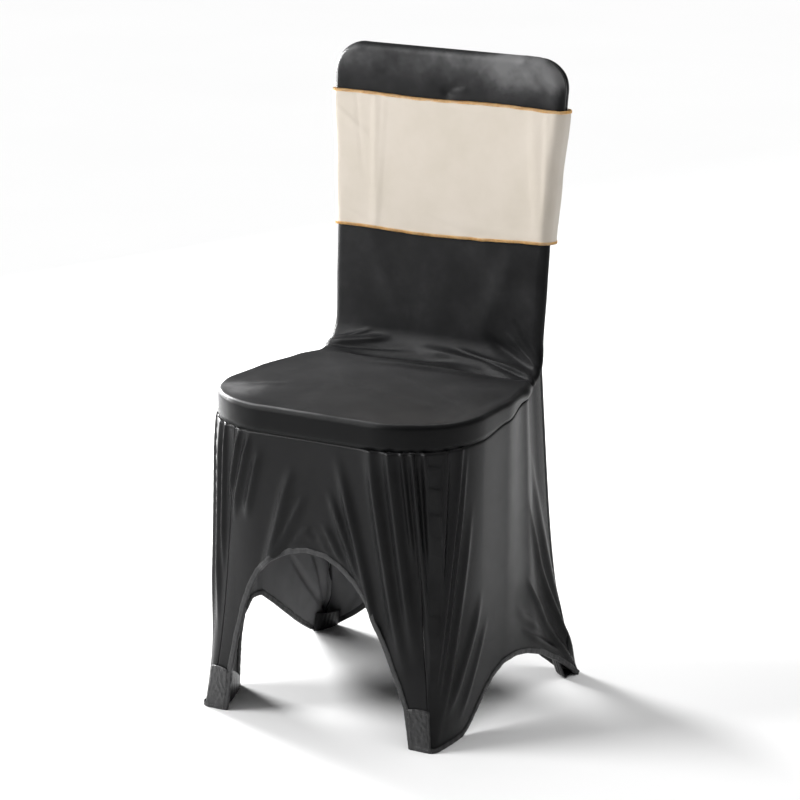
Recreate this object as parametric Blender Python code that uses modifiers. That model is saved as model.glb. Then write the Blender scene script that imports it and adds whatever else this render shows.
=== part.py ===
"""Chair cover with a sash: a stretch cloth cover as it hangs over a banquet chair."""
from math import cos, exp, pi, radians, sin, sqrt

import bpy
from mathutils import Vector

# Cloth, in metres
CLOTH = 0.0015
GAP = 0.0005
RIM_GAP = 0.0013
TOE_LIFT = 0.0014
TOE_CLOTH = 0.0012
FLOOR_CLEAR = 0.0004

# Backrest: front face line, half widths and rounding
TOP_HEIGHT = 0.940
BACK_LEAN = radians(4.6)
FOOT_OF_BACK_Y = 0.141
TOP_CORNER = 0.052
EDGE_ROUND = 0.013
BACK_ROUND = 0.009
POCKET_DEPTH = 0.036

# Seat: height, front edge, rounding of the front corners and edge
SEAT_HEIGHT = 0.477
SEAT_FRONT_Y = -0.213
SEAT_CORNER = 0.122
SEAT_ROUND = 0.016
SEAT_DOME = 0.007
JUNCTION_ROUND = 0.042

# Feet corners on the floor
FRONT_FOOT = (0.196, -0.209)
REAR_FOOT = (0.228, 0.194)
FOOT_ROUND = 0.012
HEM_BOW = 0.016

# Half width and edge depth along the front panel, from the top down and forward
# run is the distance along the cloth from the seat and back junction, up is negative
WIDTHS = (
    # run, half_width, edge_depth, taper
    (-0.470, 0.196, 0.022, 0.002),
    (-0.380, 0.193, 0.022, 0.004),
    (-0.270, 0.185, 0.022, 0.007),
    (-0.180, 0.180, 0.022, 0.009),
    (-0.120, 0.179, 0.022, 0.009),
    (-0.040, 0.177, 0.022, 0.009),
    (0.010, 0.183, 0.020, 0.008),
    (0.070, 0.201, 0.020, 0.004),
    (0.150, 0.212, 0.029, 0.001),
    (0.230, 0.214, 0.036, 0.000),
    (0.400, 0.214, 0.041, 0.000),
)

# Hem heights of the skirt panels, the arches between the feet
# along is the share of the side from one foot to the next
HEM_FRONT = (
    # along, height
    (0.000, 0.000), (0.060, 0.000), (0.112, 0.000), (0.116, 0.030), (0.122, 0.069),
    (0.150, 0.121), (0.190, 0.171), (0.230, 0.203), (0.270, 0.226), (0.330, 0.249),
    (0.400, 0.263), (0.470, 0.268), (0.540, 0.265), (0.600, 0.253), (0.660, 0.233),
    (0.710, 0.207), (0.765, 0.168), (0.810, 0.130), (0.855, 0.088), (0.880, 0.060),
    (0.888, 0.028), (0.892, 0.000), (0.940, 0.000), (1.000, 0.000),
)
HEM_RIGHT = (
    (0.000, 0.000), (0.110, 0.000), (0.200, 0.000), (0.250, 0.010), (0.300, 0.027),
    (0.360, 0.048), (0.430, 0.066), (0.510, 0.077), (0.600, 0.077), (0.690, 0.070),
    (0.790, 0.056), (0.880, 0.034), (0.940, 0.012), (0.970, 0.000), (1.000, 0.000),
)
HEM_LEFT = (
    (0.000, 0.000), (0.110, 0.000), (0.180, 0.000), (0.250, 0.000), (0.268, 0.030),
    (0.295, 0.068), (0.335, 0.102), (0.395, 0.121), (0.460, 0.119), (0.540, 0.097),
    (0.620, 0.072), (0.700, 0.048), (0.780, 0.027), (0.850, 0.010), (0.900, 0.000),
    (0.950, 0.000), (1.000, 0.000),
)
HEM_BACK = (
    (0.000, 0.000), (0.050, 0.000), (0.088, 0.000), (0.153, 0.021), (0.240, 0.070),
    (0.340, 0.112), (0.450, 0.132), (0.560, 0.132), (0.670, 0.116), (0.770, 0.080),
    (0.845, 0.039), (0.877, 0.026), (0.917, 0.012), (0.950, 0.000), (1.000, 0.000),
)

# Soft folds, as ridges and troughs between two places on a panel
# place is (share along the side, height), width and height in metres
FOLDS_FRONT = (
    # from_along, from_height, to_along, to_height, width, rise
    (0.300, 0.405, 0.210, 0.200, 0.012, 0.0022),
    (0.430, 0.300, 0.330, 0.420, 0.016, 0.0018),
    (0.500, 0.410, 0.520, 0.275, 0.010, 0.0016),
    (0.620, 0.420, 0.600, 0.262, 0.012, 0.0020),
    (0.740, 0.420, 0.800, 0.150, 0.012, 0.0030),
    (0.800, 0.430, 0.890, 0.060, 0.008, 0.0026),
    (0.120, 0.430, 0.070, 0.090, 0.010, 0.0028),
    (0.200, 0.420, 0.130, 0.130, 0.010, -0.0022),
)
FOLDS_RIGHT = (
    (0.070, 0.430, 0.060, 0.060, 0.010, 0.0030),
    (0.160, 0.420, 0.120, 0.080, 0.012, -0.0024),
    (0.260, 0.400, 0.170, 0.060, 0.012, 0.0020),
    (0.700, 0.200, 0.950, 0.040, 0.012, 0.0026),
    (0.620, 0.130, 0.950, 0.020, 0.010, -0.0022),
    (0.860, 0.420, 0.930, 0.120, 0.012, 0.0018),
)
FOLDS_LEFT = (
    (0.070, 0.430, 0.060, 0.060, 0.010, 0.0026),
    (0.200, 0.420, 0.140, 0.080, 0.012, 0.0020),
    (0.800, 0.260, 0.950, 0.050, 0.012, 0.0024),
)
FOLDS_BACK = (
    (0.200, 0.420, 0.080, 0.060, 0.014, 0.0024),
    (0.340, 0.360, 0.140, 0.080, 0.012, -0.0020),
    (0.800, 0.420, 0.920, 0.060, 0.014, 0.0024),
    (0.660, 0.360, 0.860, 0.080, 0.012, -0.0020),
)
# Folds of the front panel, place is (sideways, run) in metres
FOLDS_SEAT = (
    (-0.165, 0.005, -0.090, -0.012, 0.006, 0.0035),
    (-0.120, 0.020, 0.020, 0.012, 0.007, -0.0030),
    (0.000, -0.004, 0.150, 0.010, 0.008, 0.0030),
    (0.070, 0.026, 0.175, 0.030, 0.006, -0.0035),
    (0.100, -0.030, 0.172, 0.004, 0.007, -0.0025),
    (-0.040, 0.060, 0.110, 0.050, 0.010, 0.0018),
    (0.000, -0.392, 0.024, -0.405, 0.008, -0.0020),
)

# Sash band
SASH_TOP = 0.866
SASH_BOTTOM = 0.663
SASH_CLEAR = 0.0024
SASH_CLOTH = 0.0012
SASH_ROWS = 5
EDGING_RADIUS = 0.0013

# Uneven edges and creases of the sash, x and height in metres on its front
SASH_DIP = 0.0012
SASH_RIGHT_RISE = 0.007
SASH_FOLDS = (
    # from_x, from_height, to_x, to_height, width, rise
    (-0.116, 0.870, -0.108, 0.665, 0.007, -0.0016),
    (-0.178, 0.832, -0.132, 0.806, 0.006, 0.0016),
    (0.150, 0.850, 0.168, 0.680, 0.010, 0.0018),
    (0.020, 0.690, 0.150, 0.672, 0.008, 0.0014),
    (-0.060, 0.860, 0.060, 0.850, 0.008, 0.0012),
)

# Foot pockets: how far the inner wall stands in from the skirt, and its sampling
POCKET_INSET = 0.0035
POCKET_COLUMNS = 8
POCKET_WALL_ROWS = 3
POCKET_SOLE_ROWS = 2
SOLE_REACH = 0.8
FEET = (
    # name, corner, reach_before, reach_after, height_before, height_after, bulge
    ("fl", 0, 0.250, 0.100, 0.014, 0.062, 0.25),
    ("fr", 1, 0.100, 0.190, 0.062, 0.020, 0.40),
    ("br", 2, 0.100, 0.095, 0.040, 0.034, 0.55),
    ("bl", 3, 0.065, 0.130, 0.030, 0.036, 0.55),
)

# Leathery toe patches on the front face of the front feet
TOES = (
    # name, from_along, to_along, height
    ("toe_fl", 0.020, 0.098, 0.066),
    ("toe_fr", 0.902, 0.980, 0.058),
)

# Sampling
RING_ANGLES = (24, 50, 74, 90)
FACE_COLUMNS = 14
BACK_ROWS = 13
JUNCTION_ROWS = 8
SEAT_ROWS = 11
FRONT_GRID = (30, 12)
SIDE_GRID = (26, 12)
REAR_COLUMNS = 12
REAR_ROWS = 10


def clear_scene():
    for old in list(bpy.data.objects):
        bpy.data.objects.remove(old, do_unlink=True)


def mix(a, b, t):
    return a + (b - a) * t


def smooth(t):
    t = min(max(t, 0.0), 1.0)
    return t * t * (3 - 2 * t)


def lookup(table, x, column):
    """Value of a column, eased between the rows of a table sorted by its first column."""
    if x <= table[0][0]:
        return table[0][column]
    for low, high in zip(table, table[1:]):
        if x <= high[0]:
            share = (x - low[0]) / (high[0] - low[0])
            return mix(low[column], high[column], smooth(share))
    return table[-1][column]


def along_polyline(points, share):
    """Point at a share of the length of a polyline."""
    lengths = [(Vector(b) - Vector(a)).length for a, b in zip(points, points[1:])]
    left = share * sum(lengths)
    for start, end, length in zip(points, points[1:], lengths):
        if left <= length:
            return Vector(start).lerp(Vector(end), left / length)
        left -= length
    return Vector(points[-1])


def fold_height(folds, x, y, stretch=1.0):
    """Sum of the soft ridges and troughs of a table of folds at a place."""
    total = 0.0
    here = Vector((x * stretch, y))
    for x0, y0, x1, y1, width, rise in folds:
        start = Vector((x0 * stretch, y0))
        line = Vector((x1 * stretch, y1)) - start
        share = (here - start).dot(line) / line.length_squared
        if -0.3 < share < 1.3:
            off = (here - start - line * share).length
            fade = smooth((share + 0.3) / 0.5) * smooth((1.3 - share) / 0.5)
            total += rise * fade * exp(-(off / width) ** 2)
    return total


# The path of the front panel in the side view
ARC_START = -JUNCTION_ROUND * (pi / 2 - BACK_LEAN) / 2
ARC_END = -ARC_START
BACK_RUN = (TOP_HEIGHT - SEAT_HEIGHT - JUNCTION_ROUND * (1 - sin(BACK_LEAN))) / cos(BACK_LEAN)
TOP_RUN = ARC_START - BACK_RUN
ARC_CENTRE = Vector((
    FOOT_OF_BACK_Y - JUNCTION_ROUND * cos(BACK_LEAN),
    SEAT_HEIGHT + JUNCTION_ROUND,
))
FRONT_RUN = ARC_END + ARC_CENTRE.x - SEAT_FRONT_Y


def path(run):
    """Place and outward direction, in the side view, at a distance along the cloth."""
    if run <= ARC_START:
        turn = BACK_LEAN
        up = ARC_START - run
    elif run < ARC_END:
        turn = mix(BACK_LEAN, pi / 2, (run - ARC_START) / (ARC_END - ARC_START))
        up = 0.0
    else:
        turn = pi / 2
        up = 0.0
    outward = Vector((-cos(turn), sin(turn)))
    place = ARC_CENTRE - outward * JUNCTION_ROUND
    place += Vector((sin(BACK_LEAN), cos(BACK_LEAN))) * up
    place.x -= max(run - ARC_END, 0.0)
    return place, outward


def ring_offsets(radius, depth, taper):
    """Outward and inward steps of the rings that round an edge and run down its side."""
    steps = [(0.0, 0.0)]
    for angle in RING_ANGLES:
        steps.append((radius * sin(radians(angle)), radius * (1 - cos(radians(angle)))))
    steps.append((radius - taper, depth))
    return steps


def square_to_round(x, y, half, end, radius):
    """Move a place near a square corner of a panel onto its rounded corner."""
    across = (abs(x) - (half - radius)) / radius
    ahead = (y - (end - radius)) / radius
    if across <= 0 or ahead <= 0:
        return x, y
    sign = 1 if x > 0 else -1
    new_x = half - radius + radius * across * sqrt(1 - ahead * ahead / 2)
    new_y = end - radius + radius * ahead * sqrt(1 - across * across / 2)
    return sign * new_x, new_y


def seat_dome(x, run):
    """Crown of the seat pad under the cloth."""
    ahead = (run - ARC_END) / (FRONT_RUN - ARC_END)
    if ahead <= 0:
        return 0.0
    across = min(abs(x) / 0.19, 1.0)
    return SEAT_DOME * (1 - across ** 2) * sin(pi * min(ahead, 1.0)) ** 0.8


def front_point(side, ring_side, run, ring_end):
    """Place on the outer face of the front panel.

    side is -1 to 1 across the face, ring_side and ring_end are the ring numbers
    beyond the face at its sides and at its top or front end.
    """
    half = lookup(WIDTHS, run, 1)
    depth = lookup(WIDTHS, run, 2)
    taper = lookup(WIDTHS, run, 3)
    on_seat = run > 0
    radius = SEAT_ROUND if run > ARC_END else EDGE_ROUND
    corner = SEAT_CORNER if on_seat else TOP_CORNER
    steps = ring_offsets(radius, depth, taper)
    ring = max(ring_side, ring_end)
    face = half - radius
    end = (FRONT_RUN if on_seat else -TOP_RUN) - radius
    out, inward = steps[ring]
    x = side * face
    y = abs(run)
    if ring_side:
        x += side * out * ring_side / ring
    if ring_end:
        y = end + out * ring_end / ring
    x, y = square_to_round(x, y, face + out, end + out, corner - radius + out)
    place, outward = path(y if on_seat else -y)
    lift = -inward
    if ring == 0:
        lift += fold_height(FOLDS_SEAT, x, run)
    if on_seat:
        lift += seat_dome(x, y)
    place = place + outward * lift
    return Vector((x, place.x, place.y))


LAST_RING = len(RING_ANGLES) + 1


def front_rows():
    """Runs and end ring numbers of the front panel's rows, from the top to the front."""
    top = TOP_RUN + EDGE_ROUND
    front = FRONT_RUN - SEAT_ROUND
    rows = [(top, ring) for ring in range(LAST_RING, 0, -1)]
    rows += [(mix(top, ARC_START, i / BACK_ROWS), 0) for i in range(BACK_ROWS)]
    rows += [(mix(ARC_START, ARC_END, i / JUNCTION_ROWS), 0) for i in range(JUNCTION_ROWS)]
    rows += [(mix(ARC_END, front, i / SEAT_ROWS), 0) for i in range(SEAT_ROWS + 1)]
    rows += [(front, ring) for ring in range(1, LAST_RING + 1)]
    return rows


def front_columns():
    """Shares across and side ring numbers of the front panel's columns."""
    columns = [(-1.0, ring) for ring in range(LAST_RING, 0, -1)]
    columns += [(mix(-1, 1, i / FACE_COLUMNS), 0) for i in range(FACE_COLUMNS + 1)]
    columns += [(1.0, ring) for ring in range(1, LAST_RING + 1)]
    return columns


def seam_side(sign, run):
    """Place on the side seam of the front panel."""
    return front_point(sign, LAST_RING, run, 0)


def seam_front(share):
    """Place on the seam along the seat's front edge, share 0 to 1 from left to right."""
    side = mix(-1, 1, share)
    return front_point(side, 0, FRONT_RUN - SEAT_ROUND, LAST_RING)


CORNER_RUN = mix(ARC_START, ARC_END, 0.30)
FLAT_SHARE = 0.869
BEND_SHARE = 0.85


def back_edge(share, depth):
    """Outward step and inward place on the rounded edge of the back, share 0 to 1."""
    if share <= 0:
        return 0.0, POCKET_DEPTH
    angle = min(share / BEND_SHARE, 1.0) * pi / 2
    out = BACK_ROUND * sin(angle)
    inward = POCKET_DEPTH - BACK_ROUND * (1 - cos(angle))
    if share > BEND_SHARE:
        inward = mix(inward, depth + GAP, (share - BEND_SHARE) / (1 - BEND_SHARE))
    return out, inward


def back_point(run, share, top_share=0.0):
    """Place on the back panel, share -1 to 1 across, top_share 0 to 1 over its top edge."""
    taper = lookup(WIDTHS, run, 3)
    depth = lookup(WIDTHS, run, 2)
    face = lookup(WIDTHS, run, 1) - taper - BACK_ROUND
    end = -TOP_RUN - taper - BACK_ROUND
    side_share = (abs(share) - FLAT_SHARE) / (1 - FLAT_SHARE)
    most = max(side_share, top_share)
    out, inward = back_edge(most, depth)
    sign = 1 if share > 0 else -1
    x = share / FLAT_SHARE * face
    if side_share > 0:
        x = sign * (face + (out * side_share / most if top_share > 0 else out))
    up = -run
    if top_share > 0:
        up = end + (out * top_share / most if side_share > 0 else out)
    corner = TOP_CORNER - taper - BACK_ROUND + out
    x, up = square_to_round(x, up, face + out, end + out, corner)
    place, outward = path(-up)
    place = place - outward * inward
    return Vector((x, place.x, place.y))


SIDE_SHARE = 0.965
SEAM_FADE = 0.10
END_CROWDING = 0.6


def rounded_corner(corner, before, after, radius, share):
    """Point on a rounded corner between two straight sides, share 0 to 1."""
    first = corner + (before - corner).normalized() * radius
    second = corner + (after - corner).normalized() * radius
    return first.lerp(corner, share).lerp(corner.lerp(second, share), share)


FLOOR_CORNERS = (
    Vector((-FRONT_FOOT[0], FRONT_FOOT[1], 0)),
    Vector((FRONT_FOOT[0], FRONT_FOOT[1], 0)),
    Vector((REAR_FOOT[0], REAR_FOOT[1], 0)),
    Vector((-REAR_FOOT[0], REAR_FOOT[1], 0)),
)
CORNER_SHARE = 0.035


def floor_point(place):
    """Outline at the floor, place 0 to 4 once round from the front left foot."""
    place = place % 4
    number = int(place)
    share = place - number
    start = FLOOR_CORNERS[number]
    end = FLOOR_CORNERS[(number + 1) % 4]
    length = (end - start).length
    line = (end - start).normalized()
    inward = Vector((-line.y, line.x, 0))
    if share < CORNER_SHARE or share > 1 - CORNER_SHARE:
        near = number if share < 0.5 else number + 1
        corner = FLOOR_CORNERS[near % 4]
        before = FLOOR_CORNERS[(near - 1) % 4]
        after = FLOOR_CORNERS[(near + 1) % 4]
        turn = 0.5 + (share if share < 0.5 else share - 1) / CORNER_SHARE / 2
        return rounded_corner(corner, before, after, FOOT_ROUND, turn)
    inner = (share - CORNER_SHARE) / (1 - 2 * CORNER_SHARE)
    on_line = start + line * mix(FOOT_ROUND, length - FOOT_ROUND, inner)
    return on_line + inward * HEM_BOW * sin(pi * inner) ** 2


def rim_point(place):
    """Seam at the top of the skirt, place 0 to 4 once round from the front left corner."""
    place = place % 4
    if place <= 1:
        return seam_front(place)
    front = FRONT_RUN - SEAT_ROUND
    if place <= 1 + SIDE_SHARE:
        return seam_side(1, mix(front, CORNER_RUN, (place - 1) / SIDE_SHARE))
    if place < 4 - SIDE_SHARE:
        share = (place - 2.5) / (1.5 - SIDE_SHARE)
        return back_point(CORNER_RUN, -share)
    return seam_side(-1, mix(front, CORNER_RUN, (4 - place) / SIDE_SHARE))


def flare(drop):
    """How far the skirt has moved from the rim towards the feet at a share of its drop."""
    return 0.45 * drop + 0.55 * drop ** 5


def skirt_point(place, height):
    """Place on the outer face of the skirt at a height."""
    rim = rim_point(place)
    floor = floor_point(place)
    drop = min(max(1 - height / (rim.z - RIM_GAP), 0.0), 1.0)
    spot = rim.lerp(floor, flare(drop))
    spot.z = height
    return spot


def outward_at(place, height):
    """Level direction pointing out of the skirt."""
    step = 0.01
    line = skirt_point(place + step, height) - skirt_point(place - step, height)
    line.z = 0
    line.normalize()
    return Vector((line.y, -line.x, 0))


def inside_skirt(place, height, inset):
    """Place inside the skirt, this far in from its outer face."""
    return skirt_point(place, height) - outward_at(place, height) * inset


def skirt_cell(side, folds, length, place, height, fade=1.0, lift=0.0):
    spot = skirt_point(place, height)
    rise = fade * fold_height(folds, place - side, height, length) + lift
    spot += outward_at(place, height) * rise
    spot.z = max(spot.z, FLOOR_CLEAR)
    return spot


def skirt_rows(side, hem, folds, grid, top_ends, bottom_ends, length):
    """Rows of a skirt panel, from its rim down to its hem."""
    columns, rows = grid
    first, last = bottom_ends
    inner = [row for row in hem if first < row[0] < last]
    route = [(first, hem[0][1])] + inner + [(last, hem[-1][1])]
    route = [(along * length, height) for along, height in route]
    points = []
    for j in range(rows + 1):
        line = []
        for i in range(columns + 1):
            share = i / columns
            share -= END_CROWDING * sin(2 * pi * share) / (2 * pi)
            foot = along_polyline(route, share)
            top = mix(top_ends[0], top_ends[1], share)
            drop = j / rows
            along = mix(top, foot.x / length, drop)
            height = mix(rim_point(side + along).z - RIM_GAP, foot.y, drop)
            fade = smooth(min(share, 1 - share) / SEAM_FADE)
            line.append(skirt_cell(side, folds, length, side + along, height, fade))
        points.append(line)
    return points


def make_material(name, colour, roughness, sheen=0.0):
    material = bpy.data.materials.new(name)
    material.use_nodes = True
    shader = material.node_tree.nodes["Principled BSDF"]
    shader.inputs["Base Color"].default_value = (*colour, 1)
    shader.inputs["Roughness"].default_value = roughness
    shader.inputs["Metallic"].default_value = 0.0
    shader.inputs["Sheen Weight"].default_value = sheen
    return material


def add_sheet(name, rows, material, thickness, collection, closed=False):
    """One sheet from rows of outer points, thickened inwards, seen from outside."""
    width = len(rows[0])
    vertices = [point for row in rows for point in row]
    faces = []
    last = width if closed else width - 1
    for j in range(len(rows) - 1):
        for i in range(last):
            k = (i + 1) % width
            a, b = j * width + i, j * width + k
            faces.append((a, a + width, b + width, b))
    mesh = bpy.data.meshes.new(name)
    mesh.from_pydata(vertices, [], faces)
    mesh.shade_smooth()
    mesh.materials.append(material)
    piece = bpy.data.objects.new(name, mesh)
    collection.objects.link(piece)
    solid = piece.modifiers.new("Thickness", "SOLIDIFY")
    solid.thickness = thickness
    solid.offset = -1
    return piece


def add_front_panel(material, collection):
    rows = []
    for run, ring_end in front_rows():
        rows.append([front_point(side, ring, run, ring_end) for side, ring in front_columns()])
    add_sheet("front_panel", rows, material, CLOTH, collection)


def add_back_panel(material, collection):
    """Back of the backrest and the rear of the skirt, in one length of cloth."""
    steps = (1.0, BEND_SHARE, 0.57, 0.28)
    edge = [mix(FLAT_SHARE, 1, step) for step in steps]
    flat = [mix(-1, 1, i / REAR_COLUMNS) * FLAT_SHARE for i in range(REAR_COLUMNS + 1)]
    shares = [-share for share in edge] + flat + edge[::-1]
    top = TOP_RUN + lookup(WIDTHS, TOP_RUN, 3) + BACK_ROUND
    rows = [[back_point(top, -share, step) for share in shares] for step in steps]
    runs = [mix(top, ARC_START, i / REAR_ROWS) for i in range(REAR_ROWS)]
    runs += [mix(ARC_START, CORNER_RUN, i / 3) for i in range(4)]
    for run in runs:
        rows.append([back_point(run, -share) for share in shares])
    rear_width = 2 * REAR_FOOT[0]
    for j in range(1, REAR_ROWS + 1):
        line = []
        for share in shares:
            place = 2.5 + share * (1.5 - SIDE_SHARE)
            hem = lookup(HEM_BACK, place - 2, 1)
            height = mix(rim_point(place).z, hem, j / REAR_ROWS)
            fade = smooth((1 - abs(share)) / SEAM_FADE)
            line.append(skirt_cell(2, FOLDS_BACK, rear_width, place, height, fade))
        rows.append(line)
    add_sheet("back_panel", rows, material, CLOTH, collection)


def add_skirts(material, collection):
    front_length = 2 * FRONT_FOOT[0]
    side_length = REAR_FOOT[1] - FRONT_FOOT[1]
    seam_top = 0.085
    seam_foot = 0.045
    gap = GAP / front_length
    rows = skirt_rows(0, HEM_FRONT, FOLDS_FRONT, FRONT_GRID,
                      (seam_top, 1 - seam_top), (seam_foot, 1 - seam_foot), front_length)
    add_sheet("skirt_front", rows, material, CLOTH, collection)
    end = SIDE_SHARE - GAP / side_length
    rows = skirt_rows(1, HEM_RIGHT, FOLDS_RIGHT, SIDE_GRID,
                      (-seam_top + gap, end), (-seam_foot + gap, end), side_length)
    add_sheet("skirt_right", rows, material, CLOTH, collection)
    left = [(1 - along, height) for along, height in reversed(HEM_LEFT)]
    folds = [(1 - a, b, 1 - c, d, e, f) for a, b, c, d, e, f in FOLDS_LEFT]
    rows = skirt_rows(3, left, folds, SIDE_GRID,
                      (1 - end, 1 + seam_top - gap), (1 - end, 1 + seam_foot - gap), side_length)
    add_sheet("skirt_left", rows, material, CLOTH, collection)


def band_outline(half, near, far, radius):
    """Rounded rectangle round the backrest as (x, inward) places, front face first."""
    places = [(mix(-half + radius, half - radius, i / 18), near) for i in range(19)]
    centres = ((half - radius, near + radius, -90), (half - radius, far - radius, 0))
    for x, inward, start in centres:
        places += [(x + radius * cos(radians(start + turn)),
                    inward + radius * sin(radians(start + turn))) for turn in (22, 45, 68, 90)]
    places += [(mix(half - radius, -half + radius, i / 12), far) for i in range(1, 13)]
    centres = ((-half + radius, far - radius, 90), (-half + radius, near + radius, 180))
    for x, inward, start in centres:
        places += [(x + radius * cos(radians(start + turn)),
                    inward + radius * sin(radians(start + turn))) for turn in (22, 45, 68, 90)]
    return places[:-1]


def sash_row(share, clear):
    """Places round the sash, share 0 at its top edge and 1 at its bottom edge."""
    row = []
    height = mix(SASH_TOP, SASH_BOTTOM, share)
    run = ARC_START - (height - path(ARC_START)[0].y) / cos(BACK_LEAN)
    half = lookup(WIDTHS, run, 1) + clear
    places = band_outline(half, -clear, POCKET_DEPTH + clear, EDGE_ROUND + clear)
    for number, (x, inward) in enumerate(places):
        wave = SASH_DIP * sin(2 * pi * number / len(places) * 3 + 0.8)
        rise = SASH_RIGHT_RISE * smooth((x - 0.06) / 0.12) * share
        level = height + wave + rise
        centre, outward = path(ARC_START - (level - path(ARC_START)[0].y) / cos(BACK_LEAN))
        lift = -inward
        if inward < 0:
            lift += abs(fold_height(SASH_FOLDS, x, level))
        spot = centre + outward * lift
        row.append(Vector((x, spot.x, spot.y)))
    return row


def add_sash(material, edging, collection):
    clear = SASH_CLEAR + SASH_CLOTH
    rows = [sash_row(i / SASH_ROWS, clear) for i in range(SASH_ROWS + 1)]
    add_sheet("sash", rows, material, SASH_CLOTH, collection, closed=True)
    step = EDGING_RADIUS + GAP
    for name, share, up in (("sash_edge_top", 0, step), ("sash_edge_bottom", 1, -step)):
        line = [point + Vector((0, 0, up)) for point in sash_row(share, clear - SASH_CLOTH / 2)]
        curve = bpy.data.curves.new(name, "CURVE")
        curve.dimensions = "3D"
        curve.bevel_depth = EDGING_RADIUS
        curve.bevel_resolution = 1
        spline = curve.splines.new("POLY")
        spline.points.add(len(line) - 1)
        for place, point in zip(spline.points, line):
            place.co = (*point, 1)
        spline.use_cyclic_u = True
        curve.materials.append(edging)
        collection.objects.link(bpy.data.objects.new(name, curve))


def add_toe_patches(material, collection):
    """Leathery patches sewn over the front face of the two front feet."""
    lift = TOE_LIFT + TOE_CLOTH
    for name, start, end, top in TOES:
        rows = []
        for j in range(5):
            height = mix(top, FLOOR_CLEAR, j / 4)
            places = [mix(start, end, i / 4) for i in range(5)]
            rows.append([skirt_cell(0, FOLDS_FRONT, 2 * FRONT_FOOT[0], place, height, lift=lift)
                         for place in places])
        add_sheet(name, rows, material, TOE_CLOTH, collection)


def add_pockets(material, collection):
    """Inner wall and sole of each foot pocket, in one curved piece."""
    for name, corner, before, after, top_before, top_after, round_share in FEET:
        rows = []
        for j in range(POCKET_WALL_ROWS + POCKET_SOLE_ROWS + 1):
            down = min(j / POCKET_WALL_ROWS, 1)
            slide = max(j - POCKET_WALL_ROWS, 0) / POCKET_SOLE_ROWS * SOLE_REACH
            line = []
            for i in range(POCKET_COLUMNS + 1):
                share = i / POCKET_COLUMNS
                height = mix(mix(top_before, top_after, share), FLOOR_CLEAR, down)
                start = inside_skirt(corner - before, height, POCKET_INSET)
                end = inside_skirt(corner + after, height, POCKET_INSET)
                tip = inside_skirt(corner, height, 2 * POCKET_INSET)
                bulge = start.lerp(end, 0.5).lerp(start + end - tip, round_share)
                bulge.z = height
                spot = start.lerp(bulge, share).lerp(bulge.lerp(end, share), share)
                line.append(spot.lerp(tip, slide))
            rows.append(line[::-1])
        add_sheet("pocket_" + name, rows, material, CLOTH, collection)


def main():
    clear_scene()
    collection = bpy.data.collections.new("chair_cover_with_sash")
    bpy.context.scene.collection.children.link(collection)
    black = make_material("black_stretch_cloth", (0.012, 0.012, 0.013), 0.55, 0.3)
    add_front_panel(black, collection)
    add_back_panel(black, collection)
    add_skirts(black, collection)
    leather = make_material("toe_leather", (0.03, 0.03, 0.031), 0.45)
    add_toe_patches(leather, collection)
    add_pockets(black, collection)
    ivory = make_material("ivory_sash_cloth", (0.80, 0.74, 0.66), 0.5, 0.2)
    gold = make_material("gold_overlock_thread", (0.85, 0.50, 0.12), 0.45)
    add_sash(ivory, gold, collection)


main()
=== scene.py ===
"""Chair cover with a sash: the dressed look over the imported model."""
from math import cos, exp, pi, radians, sin, sqrt

import bpy
import numpy as np
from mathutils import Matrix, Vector, noise


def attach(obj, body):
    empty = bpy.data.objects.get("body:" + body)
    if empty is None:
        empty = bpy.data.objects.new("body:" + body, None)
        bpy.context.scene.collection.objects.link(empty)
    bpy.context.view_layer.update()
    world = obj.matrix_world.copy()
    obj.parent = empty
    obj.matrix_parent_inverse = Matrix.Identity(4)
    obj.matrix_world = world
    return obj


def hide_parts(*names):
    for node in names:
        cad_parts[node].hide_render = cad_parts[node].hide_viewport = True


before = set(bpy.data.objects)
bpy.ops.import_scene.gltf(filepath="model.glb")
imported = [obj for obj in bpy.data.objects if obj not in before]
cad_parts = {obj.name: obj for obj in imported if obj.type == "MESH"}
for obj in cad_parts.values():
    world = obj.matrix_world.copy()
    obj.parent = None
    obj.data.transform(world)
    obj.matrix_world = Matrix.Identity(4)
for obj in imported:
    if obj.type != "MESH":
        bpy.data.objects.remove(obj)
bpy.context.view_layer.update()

# Camera
TARGET = Vector((0.016, 0.009, 0.446))
CAMERA_DISTANCE = 4.70
CAMERA_AZIMUTH = radians(29.8)
CAMERA_ELEVATION = radians(15.6)
LENS = 144
SENSOR = 36

# Cloth, in metres
MILLIMETRE = 0.001
CLOTH = 0.0011
GAP = 0.0003
RIM_GAP = 0.0006
FLOOR_CLEAR = 0.0004

# Backrest: front face line, half widths and rounding
TOP_HEIGHT = 0.940
BACK_LEAN = radians(4.6)
FOOT_OF_BACK_Y = 0.141
TOP_CORNER = 0.052
EDGE_ROUND = 0.013
BACK_ROUND = 0.009
POCKET_DEPTH = 0.036

# Seat: height, front edge, rounding of the front corners and edge
SEAT_HEIGHT = 0.477
SEAT_FRONT_Y = -0.213
SEAT_CORNER = 0.122
SEAT_ROUND = 0.009
SEAT_DOME = 0.007
JUNCTION_ROUND = 0.042

# Feet corners on the floor
FRONT_FOOT = (0.196, -0.209)
REAR_FOOT = (0.228, 0.194)
FOOT_ROUND = 0.012
HEM_BOW = 0.016

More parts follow.
